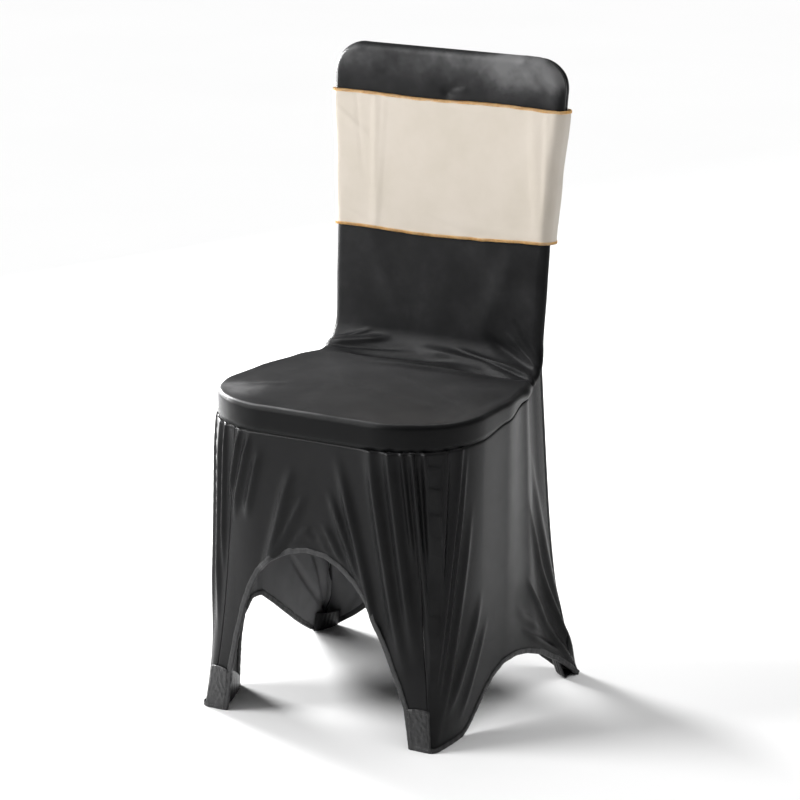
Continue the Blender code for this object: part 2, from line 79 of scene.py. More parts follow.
# Half width and edge depth along the front panel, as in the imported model
WIDTHS = (
    # run, half_width, edge_depth, taper
    (-0.47, 0.196, 0.022, 0.002),
    (-0.38, 0.193, 0.022, 0.004),
    (-0.27, 0.185, 0.022, 0.007),
    (-0.18, 0.18, 0.022, 0.009),
    (-0.12, 0.179, 0.022, 0.009),
    (-0.04, 0.177, 0.022, 0.009),
    (0.01, 0.183, 0.02, 0.008),
    (0.07, 0.201, 0.02, 0.004),
    (0.15, 0.212, 0.029, 0.001),
    (0.23, 0.214, 0.036, 0.0),
    (0.4, 0.214, 0.041, 0.0),
)

# Hem heights of the skirt panels, along is the share of the side between the feet
HEM_FRONT = (
    # along, height
    (0.0, 0.0), (0.06, 0.0), (0.112, 0.0), (0.116, 0.03), (0.122, 0.069),
    (0.15, 0.121), (0.19, 0.171), (0.23, 0.203), (0.27, 0.226), (0.33, 0.249),
    (0.4, 0.263), (0.47, 0.268), (0.54, 0.265), (0.6, 0.253), (0.66, 0.233),
    (0.71, 0.207), (0.765, 0.168), (0.81, 0.13), (0.855, 0.088), (0.88, 0.06),
    (0.888, 0.028), (0.892, 0.0), (0.94, 0.0), (1.0, 0.0),
)
HEM_RIGHT = (
    (0.0, 0.0), (0.11, 0.0), (0.2, 0.0), (0.25, 0.01), (0.3, 0.027),
    (0.36, 0.048), (0.43, 0.066), (0.51, 0.077), (0.6, 0.077), (0.69, 0.07),
    (0.79, 0.056), (0.88, 0.034), (0.94, 0.012), (0.97, 0.0), (1.0, 0.0),
)
HEM_LEFT = (
    (0.0, 0.0), (0.11, 0.0), (0.18, 0.0), (0.25, 0.0), (0.268, 0.03),
    (0.295, 0.068), (0.335, 0.102), (0.395, 0.121), (0.46, 0.119), (0.54, 0.097),
    (0.62, 0.072), (0.7, 0.048), (0.78, 0.027), (0.85, 0.01), (0.9, 0.0),
    (0.95, 0.0), (1.0, 0.0),
)
HEM_BACK = (
    (0.0, 0.0), (0.05, 0.0), (0.088, 0.0), (0.153, 0.021), (0.24, 0.07),
    (0.34, 0.112), (0.45, 0.132), (0.56, 0.132), (0.67, 0.116), (0.77, 0.08),
    (0.845, 0.039), (0.877, 0.026), (0.917, 0.012), (0.95, 0.0), (1.0, 0.0),
)

# Folds of the skirt, as ridges and troughs between two places on it
# place runs 0 to 4 once round from the front left foot, width and rise are in millimetres
SKIRT_FOLDS = (
    # from_place, from_height, to_place, to_height, width, rise
    # Front, pulled up from the arch
    (0.395, 0.365, 0.302, 0.23, 7.5, 4.2),
    (0.44, 0.335, 0.335, 0.25, 5, 3.4),
    (0.466, 0.302, 0.413, 0.273, 3.8, 2.2),
    (0.49, 0.3, 0.455, 0.276, 3.2, 1.4),
    (0.625, 0.378, 0.748, 0.184, 7, 4.2),
    (0.585, 0.345, 0.682, 0.243, 5, 3.4),
    (0.551, 0.31, 0.605, 0.268, 4, 2.4),
    (0.52, 0.305, 0.555, 0.274, 3.4, 1.5),
    (0.745, 0.41, 0.866, 0.161, 11, 5.6),
    (0.83, 0.432, 0.92, 0.18, 10, 5.6),
    # Front left corner
    (0.215, 0.415, 0.135, 0.32, 7, 3.6),
    (0.16, 0.425, 0.105, 0.345, 6, 3.4),
    (0.27, 0.395, 0.21, 0.32, 8, 2.4),
    (0.06, 0.43, 0.05, 0.25, 5, 3.6),
    (0.01, 0.43, 0.02, 0.18, 6, 4),
    (-0.05, 0.43, -0.02, 0.15, 6, 3.6),
    (-0.11, 0.43, -0.06, 0.14, 7, 3.4),
    (-0.17, 0.42, -0.11, 0.1, 8, 3),
    # Front right corner
    (0.938, 0.42, 0.99, 0.19, 5, 5),
    (0.89, 0.435, 0.93, 0.3, 4.5, 2.6),
    (0.985, 0.438, 1, 0.29, 4.5, 4.4),
    (1.03, 0.436, 1.012, 0.24, 5, 3),
    (1.1, 0.41, 1.002, 0.12, 6, 3.8),
    (1.128, 0.38, 1.035, 0.13, 4.6, 3),
    (1.17, 0.3, 1.06, 0.08, 7, 2.2),
    (1.265, 0.185, 1.107, 0.07, 9, 2.6),
    (1.33, 0.15, 1.19, 0.05, 7, 1.6),
    # Rear right foot
    (1.8, 0.25, 1.99, 0.042, 5, 4.2),
    (1.764, 0.155, 1.95, 0.03, 5, 4.2),
    (1.705, 0.1, 1.902, 0.046, 5, 2.8),
    (1.86, 0.32, 1.975, 0.09, 8, 2.6),
    (1.64, 0.14, 1.78, 0.1, 7, 1.8),
    # Back
    (2.2, 0.42, 2.08, 0.06, 14, 3.4),
    (2.34, 0.36, 2.14, 0.08, 9, 3),
    (2.26, 0.24, 2.1, 0.05, 6, 2.6),
    (2.42, 0.25, 2.33, 0.13, 6, 2.4),
    (2.5, 0.26, 2.5, 0.14, 6, 2),
    (2.58, 0.25, 2.67, 0.13, 6, 2.4),
    (2.74, 0.24, 2.9, 0.05, 6, 2.6),
    (2.66, 0.36, 2.86, 0.08, 9, 3),
    (2.8, 0.42, 2.92, 0.06, 14, 3.4),
    # Rear left foot and left side
    (3.14, 0.3, 3.02, 0.07, 7, 3.4),
    (3.23, 0.22, 3.05, 0.04, 5.5, 3.6),
    (3.3, 0.15, 3.09, 0.05, 5.5, 2.8),
    (3.48, 0.24, 3.56, 0.13, 7, 2),
    (3.69, 0.34, 3.73, 0.11, 8, 2.4),
    (3.78, 0.38, 3.85, 0.06, 7, 2.6),
)
SKIRT_SIDE = 0.40
FOLD_DEPTH = 1.8

# Folds of the front panel, from and to are (sideways, run) in metres, the rest as above
FOLDS_SEAT = (
    (-0.165, 0.005, -0.09, -0.012, 6, 3.5),
    (-0.12, 0.02, 0.02, 0.012, 7, -3),
    (0, -0.004, 0.15, 0.01, 8, 3),
    (0.07, 0.026, 0.175, 0.03, 6, -3.5),
    (0.1, -0.03, 0.172, 0.004, 7, -2.5),
    (-0.04, 0.06, 0.11, 0.05, 10, 1.8),
    (0, -0.392, 0.024, -0.405, 8, -2),
)

# Finer folds of the front panel
FINE_SEAT = (
    (-0.176, 0.004, -0.12, -0.02, 3, 1.6),
    (-0.172, 0.012, -0.06, 0.002, 3, -1.2),
    (0.06, -0.01, 0.176, 0.018, 3, 1.8),
    (0.09, 0, 0.178, 0.024, 3, -1.8),
    (0.11, 0.016, 0.182, 0.036, 4, 1.6),
    (0.13, -0.04, 0.176, -0.004, 3, 1.2),
    (0.14, -0.06, 0.174, -0.016, 3, -1),
    (0.02, 0.11, 0.15, 0.19, 14, -1.2),
    (-0.05, 0.2, 0.14, 0.25, 18, 1),
    (-0.19, 0.28, -0.12, 0.24, 8, 1),
    (0.01, -0.396, 0.034, -0.4, 3, 1),
    (-0.16, -0.452, -0.12, -0.42, 6, 0.8),
    (0.12, -0.452, 0.16, -0.41, 6, 1),
    (-0.12, -0.16, -0.06, -0.06, 16, 0.8),
    (0.12, -0.15, 0.08, -0.05, 16, 0.8),
)

# Sash band
SASH_TOP = 0.866
SASH_BOTTOM = 0.663
SASH_CLEAR = 0.0024
SASH_CLOTH = 0.0011
SASH_DIP = 0.0012
SASH_RIGHT_RISE = 0.007
SASH_FOLD_DEPTH = 0.55
SASH_FOLDS = (
    # from_x, from_height, to_x, to_height, width, rise, the last two in millimetres
    (-0.116, 0.87, -0.108, 0.665, 7, -1.6),
    (-0.178, 0.832, -0.132, 0.806, 6, 1.6),
    (0.15, 0.85, 0.168, 0.68, 10, 1.8),
    (0.02, 0.69, 0.15, 0.672, 8, 1.4),
    (-0.06, 0.86, 0.06, 0.85, 8, 1.2),
)
SASH_FINE = (
    (-0.19, 0.845, -0.15, 0.82, 3, 1.2),
    (-0.15, 0.87, -0.135, 0.76, 4, -0.7),
    (-0.1, 0.86, -0.104, 0.7, 4, 0.7),
    (0.172, 0.86, 0.176, 0.67, 4, 1),
    (-0.19, 0.7, -0.12, 0.672, 4, 0.8),
    (-0.02, 0.69, 0.06, 0.668, 4, -0.6),
)

# Foot pockets
POCKET_INSET = 0.0035
SOLE_REACH = 0.8
FEET = (
    # name, corner, reach_before, reach_after, height_before, height_after, bulge, cut area
    ("fl", 0, 0.25, 0.1, 0.014, 0.062, 0.25, 0.0058),
    ("fr", 1, 0.1, 0.19, 0.062, 0.02, 0.4, 0.005),
    ("br", 2, 0.1, 0.095, 0.04, 0.034, 0.55, 0.003),
    ("bl", 3, 0.065, 0.13, 0.03, 0.036, 0.55, 0.003),
)

# Toe patches on the front face of the front feet
TOES = (
    # name, from_along, to_along, height
    ("toe_fl", 0.012, 0.1, 0.066),
    ("toe_fr", 0.9, 0.99, 0.062),
)
TOE_LIFT = 0.0005
TOE_CLOTH = 0.0012
TOE_SEAM_INSET = 4

# Sampling of the dressed cloth
ROUND_STEPS = 9
DROP_STEPS = 4
FACE_COLUMNS = 92
BACK_ROWS = 130
JUNCTION_ROWS = 40
SEAT_ROWS = 84
SKIRT_GRID = (150, 96)
BACK_BEND_STEPS = 12
BACK_FACE_STEPS = 84
BACK_RUN_STEPS = 110
BACK_JUNCTION_STEPS = 8
BACK_DROP_STEPS = 100
POCKET_GRID = (60, 20, 16)
TOE_STEPS = 44
SASH_ROWS = 64

# Hems, seams and stitching
HEM_HEIGHT = 0.0075
HEM_PROUD = 0.0011
HEM_PITCH = 0.0022
HEM_REACH = 3
SEAM_TURN = 0.0055
SEAM_RADIUS = 0.0010
THREAD = 0.00028
STITCH = 0.0026
STITCH_PITCH = 0.0036
THREAD_SIDES = 5
THREAD_END = 0.55
OVERLOCK_PITCH = 0.0013
OVERLOCK_WIDTH = 0.0030
OVERLOCK_LIFT = 0.0003
OVERLOCK_THREAD = 0.00040


def mix(a, b, t):
    return a + (b - a) * t


def smooth(t):
    t = min(max(t, 0.0), 1.0)
    return t * t * (3 - 2 * t)


def smooth_all(t):
    t = np.clip(t, 0.0, 1.0)
    return t * t * (3 - 2 * t)


def lookup(table, x, column):
    """Value of a column, eased between the rows of a table sorted by its first column."""
    if x <= table[0][0]:
        return table[0][column]
    for low, high in zip(table, table[1:]):
        if x <= high[0]:
            share = (x - low[0]) / (high[0] - low[0])
            return mix(low[column], high[column], smooth(share))
    return table[-1][column]


def length_of(points):
    return sum((Vector(b) - Vector(a)).length for a, b in zip(points, points[1:]))


def along_polyline(points, share):
    """Point at a share of the length of a polyline."""
    left = share * length_of(points)
    for start, end in zip(points, points[1:]):
        length = (Vector(end) - Vector(start)).length
        if left <= length:
            return Vector(start).lerp(Vector(end), left / length)
        left -= length
    return Vector(points[-1])


def spots_along(points, outward, distances):
    """Places and outward directions at rising distances along a line of points."""
    spots = []
    number = 0
    passed = 0.0
    gaps = [(b - a).length for a, b in zip(points, points[1:])]
    for distance in distances:
        while number < len(gaps) - 1 and passed + gaps[number] < distance:
            passed += gaps[number]
            number += 1
        share = min(max((distance - passed) / max(gaps[number], 1e-9), 0.0), 1.0)
        spots.append((points[number].lerp(points[number + 1], share),
                      outward[number].lerp(outward[number + 1], share)))
    return spots


def fold_field(folds, x, y, stretch=1.0):
    """Sum of the ridges and troughs of a table of folds, over arrays of places."""
    total = np.zeros(np.shape(x))
    for x0, y0, x1, y1, width, rise in folds:
        line_x = (x1 - x0) * stretch
        line_y = y1 - y0
        from_x = (x - x0) * stretch
        from_y = y - y0
        share = (from_x * line_x + from_y * line_y) / (line_x ** 2 + line_y ** 2)
        off = (from_x * line_y - from_y * line_x) / sqrt(line_x ** 2 + line_y ** 2)
        fade = smooth_all((share + 0.3) / 0.5) * smooth_all((1.3 - share) / 0.5)
        total += rise * MILLIMETRE * fade * np.exp(-(off / (width * MILLIMETRE)) ** 2)
    return total


# The path of the front panel in the side view
ARC_START = -JUNCTION_ROUND * (pi / 2 - BACK_LEAN) / 2
ARC_END = -ARC_START
BACK_RUN = (TOP_HEIGHT - SEAT_HEIGHT - JUNCTION_ROUND * (1 - sin(BACK_LEAN))) / cos(BACK_LEAN)
TOP_RUN = ARC_START - BACK_RUN
ARC_CENTRE = Vector((
    FOOT_OF_BACK_Y - JUNCTION_ROUND * cos(BACK_LEAN),
    SEAT_HEIGHT + JUNCTION_ROUND,
))
FRONT_RUN = ARC_END + ARC_CENTRE.x - SEAT_FRONT_Y


def skirt_folds(place, height):
    """Folds of the skirt at places round it, over arrays."""
    lift = fold_field(SKIRT_FOLDS, place, height, SKIRT_SIDE)
    lift += fold_field(SKIRT_FOLDS, place - 4, height, SKIRT_SIDE)
    return FOLD_DEPTH * lift


def path(run):
    """Place and outward direction, in the side view, at a distance along the cloth."""
    if run <= ARC_START:
        turn = BACK_LEAN
        up = ARC_START - run
    elif run < ARC_END:
        turn = mix(BACK_LEAN, pi / 2, (run - ARC_START) / (ARC_END - ARC_START))
        up = 0.0
    else:
        turn = pi / 2
        up = 0.0
    outward = Vector((-cos(turn), sin(turn)))
    place = ARC_CENTRE - outward * JUNCTION_ROUND
    place += Vector((sin(BACK_LEAN), cos(BACK_LEAN))) * up
    place.x -= max(run - ARC_END, 0.0)
    return place, outward


LAST_RING = ROUND_STEPS + DROP_STEPS


def ring_offsets(radius, depth, taper):
    """Outward and inward steps of the rings that round an edge and run down its side."""
    steps = [(0.0, 0.0)]
    for number in range(1, ROUND_STEPS + 1):
        angle = pi / 2 * number / ROUND_STEPS
        steps.append((radius * sin(angle), radius * (1 - cos(angle))))
    for number in range(1, DROP_STEPS + 1):
        share = number / DROP_STEPS
        steps.append((radius - taper * share, mix(radius, depth, share)))
    return steps


def square_to_round(x, y, half, end, radius):
    """Move a place near a square corner of a panel onto its rounded corner."""
    across = (abs(x) - (half - radius)) / radius
    ahead = (y - (end - radius)) / radius
    if across <= 0 or ahead <= 0:
        return x, y
    sign = 1 if x > 0 else -1
    new_x = half - radius + radius * across * sqrt(1 - ahead * ahead / 2)
    new_y = end - radius + radius * ahead * sqrt(1 - across * across / 2)
    return sign * new_x, new_y


def seat_dome(x, run):
    """Crown of the seat pad under the cloth."""
    ahead = (run - ARC_END) / (FRONT_RUN - ARC_END)
    if ahead <= 0:
        return 0.0
    across = min(abs(x) / 0.19, 1.0)
    return SEAT_DOME * (1 - across ** 2) * sin(pi * min(ahead, 1.0)) ** 0.8


def front_place(side, ring_side, run, ring_end):
    """Place on the outer face of the front panel, and its x and run on the cloth."""
    half = lookup(WIDTHS, run, 1)
    depth = lookup(WIDTHS, run, 2)
    taper = lookup(WIDTHS, run, 3)
    on_seat = run > 0
    radius = mix(EDGE_ROUND, SEAT_ROUND, smooth((run - ARC_END) / 0.10))
    corner = SEAT_CORNER if on_seat else TOP_CORNER
    steps = ring_offsets(radius, depth, taper)
    ring = max(ring_side, ring_end)
    face = half - radius
    end = (FRONT_RUN if on_seat else -TOP_RUN) - radius
    out, inward = steps[ring]
    x = side * face
    y = abs(run)
    if ring_side:
        x += side * out * ring_side / ring
    if ring_end:
        y = end + out * ring_end / ring
    x, y = square_to_round(x, y, face + out, end + out, corner - radius + out)
    place, outward = path(y if on_seat else -y)
    lift = -inward
    if on_seat:
        lift += seat_dome(x, y)
    place = place + outward * lift
    return Vector((x, place.x, place.y)), x, run


def front_rows():
    """Runs and end ring numbers of the front panel's rows, from the top to the front."""
    top = TOP_RUN + EDGE_ROUND
    front = FRONT_RUN - SEAT_ROUND
    rows = [(top, ring) for ring in range(LAST_RING, 0, -1)]
    rows += [(mix(top, ARC_START, i / BACK_ROWS), 0) for i in range(BACK_ROWS)]
    rows += [(mix(ARC_START, ARC_END, i / JUNCTION_ROWS), 0) for i in range(JUNCTION_ROWS)]
    rows += [(mix(ARC_END, front, i / SEAT_ROWS), 0) for i in range(SEAT_ROWS + 1)]
    rows += [(front, ring) for ring in range(1, LAST_RING + 1)]
    return rows


def front_columns():
    """Shares across and side ring numbers of the front panel's columns."""
    columns = [(-1.0, ring) for ring in range(LAST_RING, 0, -1)]
    columns += [(mix(-1, 1, i / FACE_COLUMNS), 0) for i in range(FACE_COLUMNS + 1)]
    columns += [(1.0, ring) for ring in range(1, LAST_RING + 1)]
    return columns


def seam_side(sign, run):
    """Place on the side seam of the front panel."""
    return front_place(sign, LAST_RING, run, 0)[0]


def seam_front(share):
    """Place on the seam along the seat's front edge, share 0 to 1 from left to right."""
    return front_place(mix(-1, 1, share), 0, FRONT_RUN - SEAT_ROUND, LAST_RING)[0]


CORNER_RUN = mix(ARC_START, ARC_END, 0.30)
FLAT_SHARE = 0.869
BEND_SHARE = 0.85


def back_edge(share, depth):
    """Outward step and inward place on the rounded edge of the back, share 0 to 1."""
    if share <= 0:
        return 0.0, POCKET_DEPTH
    angle = min(share / BEND_SHARE, 1.0) * pi / 2
    out = BACK_ROUND * sin(angle)
    inward = POCKET_DEPTH - BACK_ROUND * (1 - cos(angle))
    if share > BEND_SHARE:
        inward = mix(inward, depth + GAP, (share - BEND_SHARE) / (1 - BEND_SHARE))
    return out, inward


def back_point(run, share, top_share=0.0):
    """Place on the back panel, share -1 to 1 across, top_share 0 to 1 over its top edge."""
    taper = lookup(WIDTHS, run, 3)
    depth = lookup(WIDTHS, run, 2)
    face = lookup(WIDTHS, run, 1) - taper - BACK_ROUND
    end = -TOP_RUN - taper - BACK_ROUND
    side_share = (abs(share) - FLAT_SHARE) / (1 - FLAT_SHARE)
    most = max(side_share, top_share)
    out, inward = back_edge(most, depth)
    sign = 1 if share > 0 else -1
    x = share / FLAT_SHARE * face
    if side_share > 0:
        x = sign * (face + (out * side_share / most if top_share > 0 else out))
    up = -run
    if top_share > 0:
        up = end + (out * top_share / most if side_share > 0 else out)
    corner = TOP_CORNER - taper - BACK_ROUND + out
    x, up = square_to_round(x, up, face + out, end + out, corner)
    place, outward = path(-up)
    place = place - outward * inward
    return Vector((x, place.x, place.y))


SIDE_SHARE = 0.965
END_CROWDING = 0.6


def rounded_corner(corner, before, after, radius, share):
    """Point on a rounded corner between two straight sides, share 0 to 1."""
    first = corner + (before - corner).normalized() * radius
    second = corner + (after - corner).normalized() * radius
    return first.lerp(corner, share).lerp(corner.lerp(second, share), share)


FLOOR_CORNERS = (
    Vector((-FRONT_FOOT[0], FRONT_FOOT[1], 0)),
    Vector((FRONT_FOOT[0], FRONT_FOOT[1], 0)),
    Vector((REAR_FOOT[0], REAR_FOOT[1], 0)),
    Vector((-REAR_FOOT[0], REAR_FOOT[1], 0)),
)
CORNER_SHARE = 0.035


def floor_point(place):
    """Outline at the floor, place 0 to 4 once round from the front left foot."""
    place = place % 4
    number = int(place)
    share = place - number
    start = FLOOR_CORNERS[number]
    end = FLOOR_CORNERS[(number + 1) % 4]
    length = (end - start).length
    line = (end - start).normalized()
    inward = Vector((-line.y, line.x, 0))
    if share < CORNER_SHARE or share > 1 - CORNER_SHARE:
        near = number if share < 0.5 else number + 1
        corner = FLOOR_CORNERS[near % 4]
        before = FLOOR_CORNERS[(near - 1) % 4]
        after = FLOOR_CORNERS[(near + 1) % 4]
        turn = 0.5 + (share if share < 0.5 else share - 1) / CORNER_SHARE / 2
        return rounded_corner(corner, before, after, FOOT_ROUND, turn)
    inner = (share - CORNER_SHARE) / (1 - 2 * CORNER_SHARE)
    on_line = start + line * mix(FOOT_ROUND, length - FOOT_ROUND, inner)
    return on_line + inward * HEM_BOW * sin(pi * inner) ** 2


def rim_point(place):
    """Seam at the top of the skirt, place 0 to 4 once round from the front left corner."""
    place = place % 4
    if place <= 1:
        return seam_front(place)
    front = FRONT_RUN - SEAT_ROUND
    if place <= 1 + SIDE_SHARE:
        return seam_side(1, mix(front, CORNER_RUN, (place - 1) / SIDE_SHARE))
    if place < 4 - SIDE_SHARE:
        share = (place - 2.5) / (1.5 - SIDE_SHARE)
        return back_point(CORNER_RUN, -share)
    return seam_side(-1, mix(front, CORNER_RUN, (4 - place) / SIDE_SHARE))


def flare(drop):
    """How far the skirt has moved from the rim towards the feet at a share of its drop."""
    return 0.45 * drop + 0.55 * drop ** 5


def skirt_point(place, height):
    """Place on the outer face of the skirt at a height."""
    rim = rim_point(place)
    floor = floor_point(place)
    drop = min(max(1 - height / (rim.z - RIM_GAP), 0.0), 1.0)
    spot = rim.lerp(floor, flare(drop))
    spot.z = height
    return spot


def outward_at(place, height):
    """Level direction pointing out of the skirt."""
    step = 0.01
    line = skirt_point(place + step, height) - skirt_point(place - step, height)
    line.z = 0
    line.normalize()
    return Vector((line.y, -line.x, 0))


def inside_skirt(place, height, inset):
    """Place inside the skirt, this far in from its outer face."""
    return skirt_point(place, height) - outward_at(place, height) * inset


# Mesh making
def normals_of(grid, closed=False):
    """Outward directions of a grid whose rows run down and whose columns run right."""
    if closed:
        wrapped = np.concatenate([grid[:, -1:], grid, grid[:, :1]], axis=1)
        right = wrapped[:, 2:] - wrapped[:, :-2]
    else:
        right = np.gradient(grid, axis=1)
    down = np.gradient(grid, axis=0)
    normal = np.cross(down, right)
    length = np.linalg.norm(normal, axis=2, keepdims=True)
    return normal / np.maximum(length, 1e-12)


def cloth_lengths(grid):
    """Distances along the rows and down the columns of a grid, in metres."""
    across = np.linalg.norm(np.diff(grid, axis=1), axis=2)
    down = np.linalg.norm(np.diff(grid, axis=0), axis=2)
    u = np.concatenate([np.zeros((grid.shape[0], 1)), np.cumsum(across, axis=1)], axis=1)
    v = np.concatenate([np.zeros((1, grid.shape[1])), np.cumsum(down, axis=0)], axis=0)
    middle = grid.shape[1] // 2
    return u - u[:, middle:middle + 1], -v


def new_mesh(name, vertices, faces, material):
    mesh = bpy.data.meshes.new(name)
    mesh.from_pydata(vertices, [], faces)
    mesh.shade_smooth()
    mesh.materials.append(material)
    return mesh


def add_object(name, data):
    piece = bpy.data.objects.new(name, data)
    bpy.context.scene.collection.objects.link(piece)
    return piece


def mesh_from_grid(name, grid, material, closed=False):
    """Mesh of a grid of places, with its cloth lengths as its texture coordinates."""
    rows, columns = grid.shape[:2]
    wide = columns if closed else columns - 1
    faces = []
    for j in range(rows - 1):
        for i in range(wide):
            k = (i + 1) % columns
            faces.append((j * columns + i, (j + 1) * columns + i,
                          (j + 1) * columns + k, j * columns + k))
    mesh = new_mesh(name, grid.reshape(-1, 3).tolist(), faces, material)
    u, v = cloth_lengths(grid)
    corners = np.empty(len(mesh.loops), dtype=np.int64)
    mesh.loops.foreach_get("vertex_index", corners)
    layer = mesh.uv_layers.new(name="cloth")
    flat = np.stack([u.ravel()[corners], v.ravel()[corners]], axis=1)
    layer.data.foreach_set("uv", flat.ravel())
    return mesh


def store_painted_light(piece, tone):
    """Keep a painted light value for each place of a cloth, low where shade is painted and
    above one where highlights are painted.
    """
    layer = piece.data.attributes.new("tone", "FLOAT", "POINT")
    layer.data.foreach_set("value", np.ascontiguousarray(tone, dtype=np.float32).ravel())


def add_piece(name, mesh, replaced=()):
    piece = add_object(name, mesh)
    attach(piece, "root")
    if replaced:
        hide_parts(*replaced)
    return piece


def add_cloth(name, grid, material, thickness, replaced=(), closed=False, inside=None):
    """One sheet of cloth, thickened inwards from its outer face."""
    mesh = mesh_from_grid(name, grid, material, closed)
    mesh.materials.append(inside or material)
    piece = add_piece(name, mesh, replaced)
    solid = piece.modifiers.new("Thickness", "SOLIDIFY")
    solid.thickness = thickness
    solid.offset = -1
    solid.material_offset = 1
    return piece


def turned_edge(edge, normal, beside):
    """Three more lines of places where a cloth edge turns inwards into its seam."""
    towards = edge - beside
    towards /= np.maximum(np.linalg.norm(towards, axis=1, keepdims=True), 1e-12)
    first = edge - normal * SEAM_RADIUS * 0.5
    second = edge + towards * 0.0001 - normal * SEAM_RADIUS * 1.6
    third = second - normal * SEAM_TURN
    return first, second, third


def turn_sides(grid, normal, last=True):
    """Grid with its first and perhaps its last column turned into the seams."""
    lines = turned_edge(grid[:, 0], normal[:, 0], grid[:, 1])
    parts = [np.stack(lines[::-1], axis=1), grid[:, 1:]]
    if last:
        lines = turned_edge(grid[:, -1], normal[:, -1], grid[:, -2])
        parts[-1] = parts[-1][:, :-1]
        parts.append(np.stack(lines, axis=1))
    return np.concatenate(parts, axis=1)


def turn_edges(grid, normal, bottom=True):
    """Grid with its side, top and perhaps bottom edges turned into the seams."""
    grid = turn_sides(grid, normal)
    normal = normals_of(grid)
    turned = turn_sides(grid.transpose(1, 0, 2), normal.transpose(1, 0, 2), bottom)
    return turned.transpose(1, 0, 2)


def tube(points, radius, vertices, faces):
    """Add a short thread along a few points to lists of vertices and faces."""
    sides = THREAD_SIDES
    first = len(vertices)
    last = len(points) - 1
    for number, point in enumerate(points):
        before = points[max(number - 1, 0)]
        after = points[min(number + 1, last)]
        line = (after - before).normalized()
        guide = Vector((0, 0, 1)) if abs(line.z) < 0.8 else Vector((1, 0, 0))
        across = line.cross(guide).normalized()
        other = line.cross(across)
        size = radius * (THREAD_END if number in (0, last) else 1.0)
        for turn in range(sides):
            angle = 2 * pi * turn / sides
            vertices.append(point + (across * cos(angle) + other * sin(angle)) * size)
    for number in range(last):
        for turn in range(sides):
            a = first + number * sides + turn
            b = first + number * sides + (turn + 1) % sides
            faces.append((a, b, b + sides, a + sides))
    faces.append(tuple(first + turn for turn in reversed(range(sides))))
    faces.append(tuple(first + last * sides + turn for turn in range(sides)))


def add_threads(name, threads, radius, material, replaced=()):
    """One piece of many short threads, each a list of points."""
    vertices = []
    faces = []
    for points in threads:
        tube(points, radius, vertices, faces)
    return add_piece(name, new_mesh(name, vertices, faces, material), replaced)


STITCH_ARCH = (
    # share along the stitch, lift in thread radii
    (0.0, -0.9), (0.18, 0.5), (0.5, 0.9), (0.82, 0.5), (1.0, -0.9),
)


def stitches_along(points, outward):
    """Threads of a running stitch over a line of points, lying just on the cloth."""
    total = length_of(points)
    count = int(total / STITCH_PITCH)
    starts = [(number + 0.5) * total / count - STITCH / 2 for number in range(count)]
    distances = [start + share * STITCH for start in starts for share, _ in STITCH_ARCH]
    spots = spots_along(points, outward, distances)
    lifts = [lift * THREAD for _, lift in STITCH_ARCH] * count
    raised = [spot + normal * lift for (spot, normal), lift in zip(spots, lifts)]
    step = len(STITCH_ARCH)
    return [raised[number:number + step] for number in range(0, len(raised), step)]


# Materials
def new_material(name, roughness, sheen=0.0, sheen_roughness=0.3, specular=0.5):
    material = bpy.data.materials.new(name)
    material.use_nodes = True
    shader = material.node_tree.nodes["Principled BSDF"]
    shader.inputs["Roughness"].default_value = roughness
    shader.inputs["Sheen Weight"].default_value = sheen
    shader.inputs["Sheen Roughness"].default_value = sheen_roughness
    shader.inputs["Specular IOR Level"].default_value = specular
    return material, material.node_tree, shader


def texture_place(tree, kind):
    return tree.nodes.new("ShaderNodeTexCoord").outputs[kind]


def noise_at(tree, coordinates, scale, detail=3.0, roughness=0.5):
    node = tree.nodes.new("ShaderNodeTexNoise")
    node.inputs["Scale"].default_value = scale
    node.inputs["Detail"].default_value = detail
    node.inputs["Roughness"].default_value = roughness
    tree.links.new(coordinates, node.inputs["Vector"])
    return node.outputs["Fac"]


def colour_by(tree, shader, value, stops):
    """Colour the surface by a value, through a ramp of (place, colour) stops."""
    node = tree.nodes.new("ShaderNodeValToRGB")
    elements = node.color_ramp.elements
    while len(elements) < len(stops):
        elements.new(0.5)
    for element, (place, colour) in zip(elements, stops):
        element.position = place
        element.color = (*colour, 1)
    tree.links.new(value, node.inputs["Fac"])
    tree.links.new(node.outputs["Color"], shader.inputs["Base Color"])


def math_node(tree, operation, first, second):
    node = tree.nodes.new("ShaderNodeMath")
    node.operation = operation
    for socket, value in zip(node.inputs, (first, second)):
        if isinstance(value, (int, float)):
            socket.default_value = value
        else:
            tree.links.new(value, socket)
    return node.outputs["Value"]


def knit_height(tree, wale, course):
    """Height of a fine knit over the cloth's own lengths, columns and rows of loops."""
    coordinates = texture_place(tree, "UV")
    waves = []
    for direction, pitch in (("X", wale), ("Y", course)):
        wave = tree.nodes.new("ShaderNodeTexWave")
        wave.wave_type = "BANDS"
        wave.bands_direction = direction
        wave.wave_profile = "SIN"
        wave.inputs["Scale"].default_value = 0.314 / pitch
        wave.inputs["Distortion"].default_value = 0.6
        wave.inputs["Detail"].default_value = 1.0
        wave.inputs["Detail Scale"].default_value = 2.0
        tree.links.new(coordinates, wave.inputs["Vector"])
        waves.append(wave.outputs["Fac"])
    return math_node(tree, "MULTIPLY", waves[0], waves[1]), coordinates


def bump(tree, shader, height, distance, strength):
    node = tree.nodes.new("ShaderNodeBump")
    node.inputs["Distance"].default_value = distance
    node.inputs["Strength"].default_value = strength
    tree.links.new(height, node.inputs["Height"])
    tree.links.new(node.outputs["Normal"], shader.inputs["Normal"])


# Pale grey reached by the painted highlights of the panel cloth.
PAINTED_HIGHLIGHT_GREY = (0.16, 0.16, 0.162)


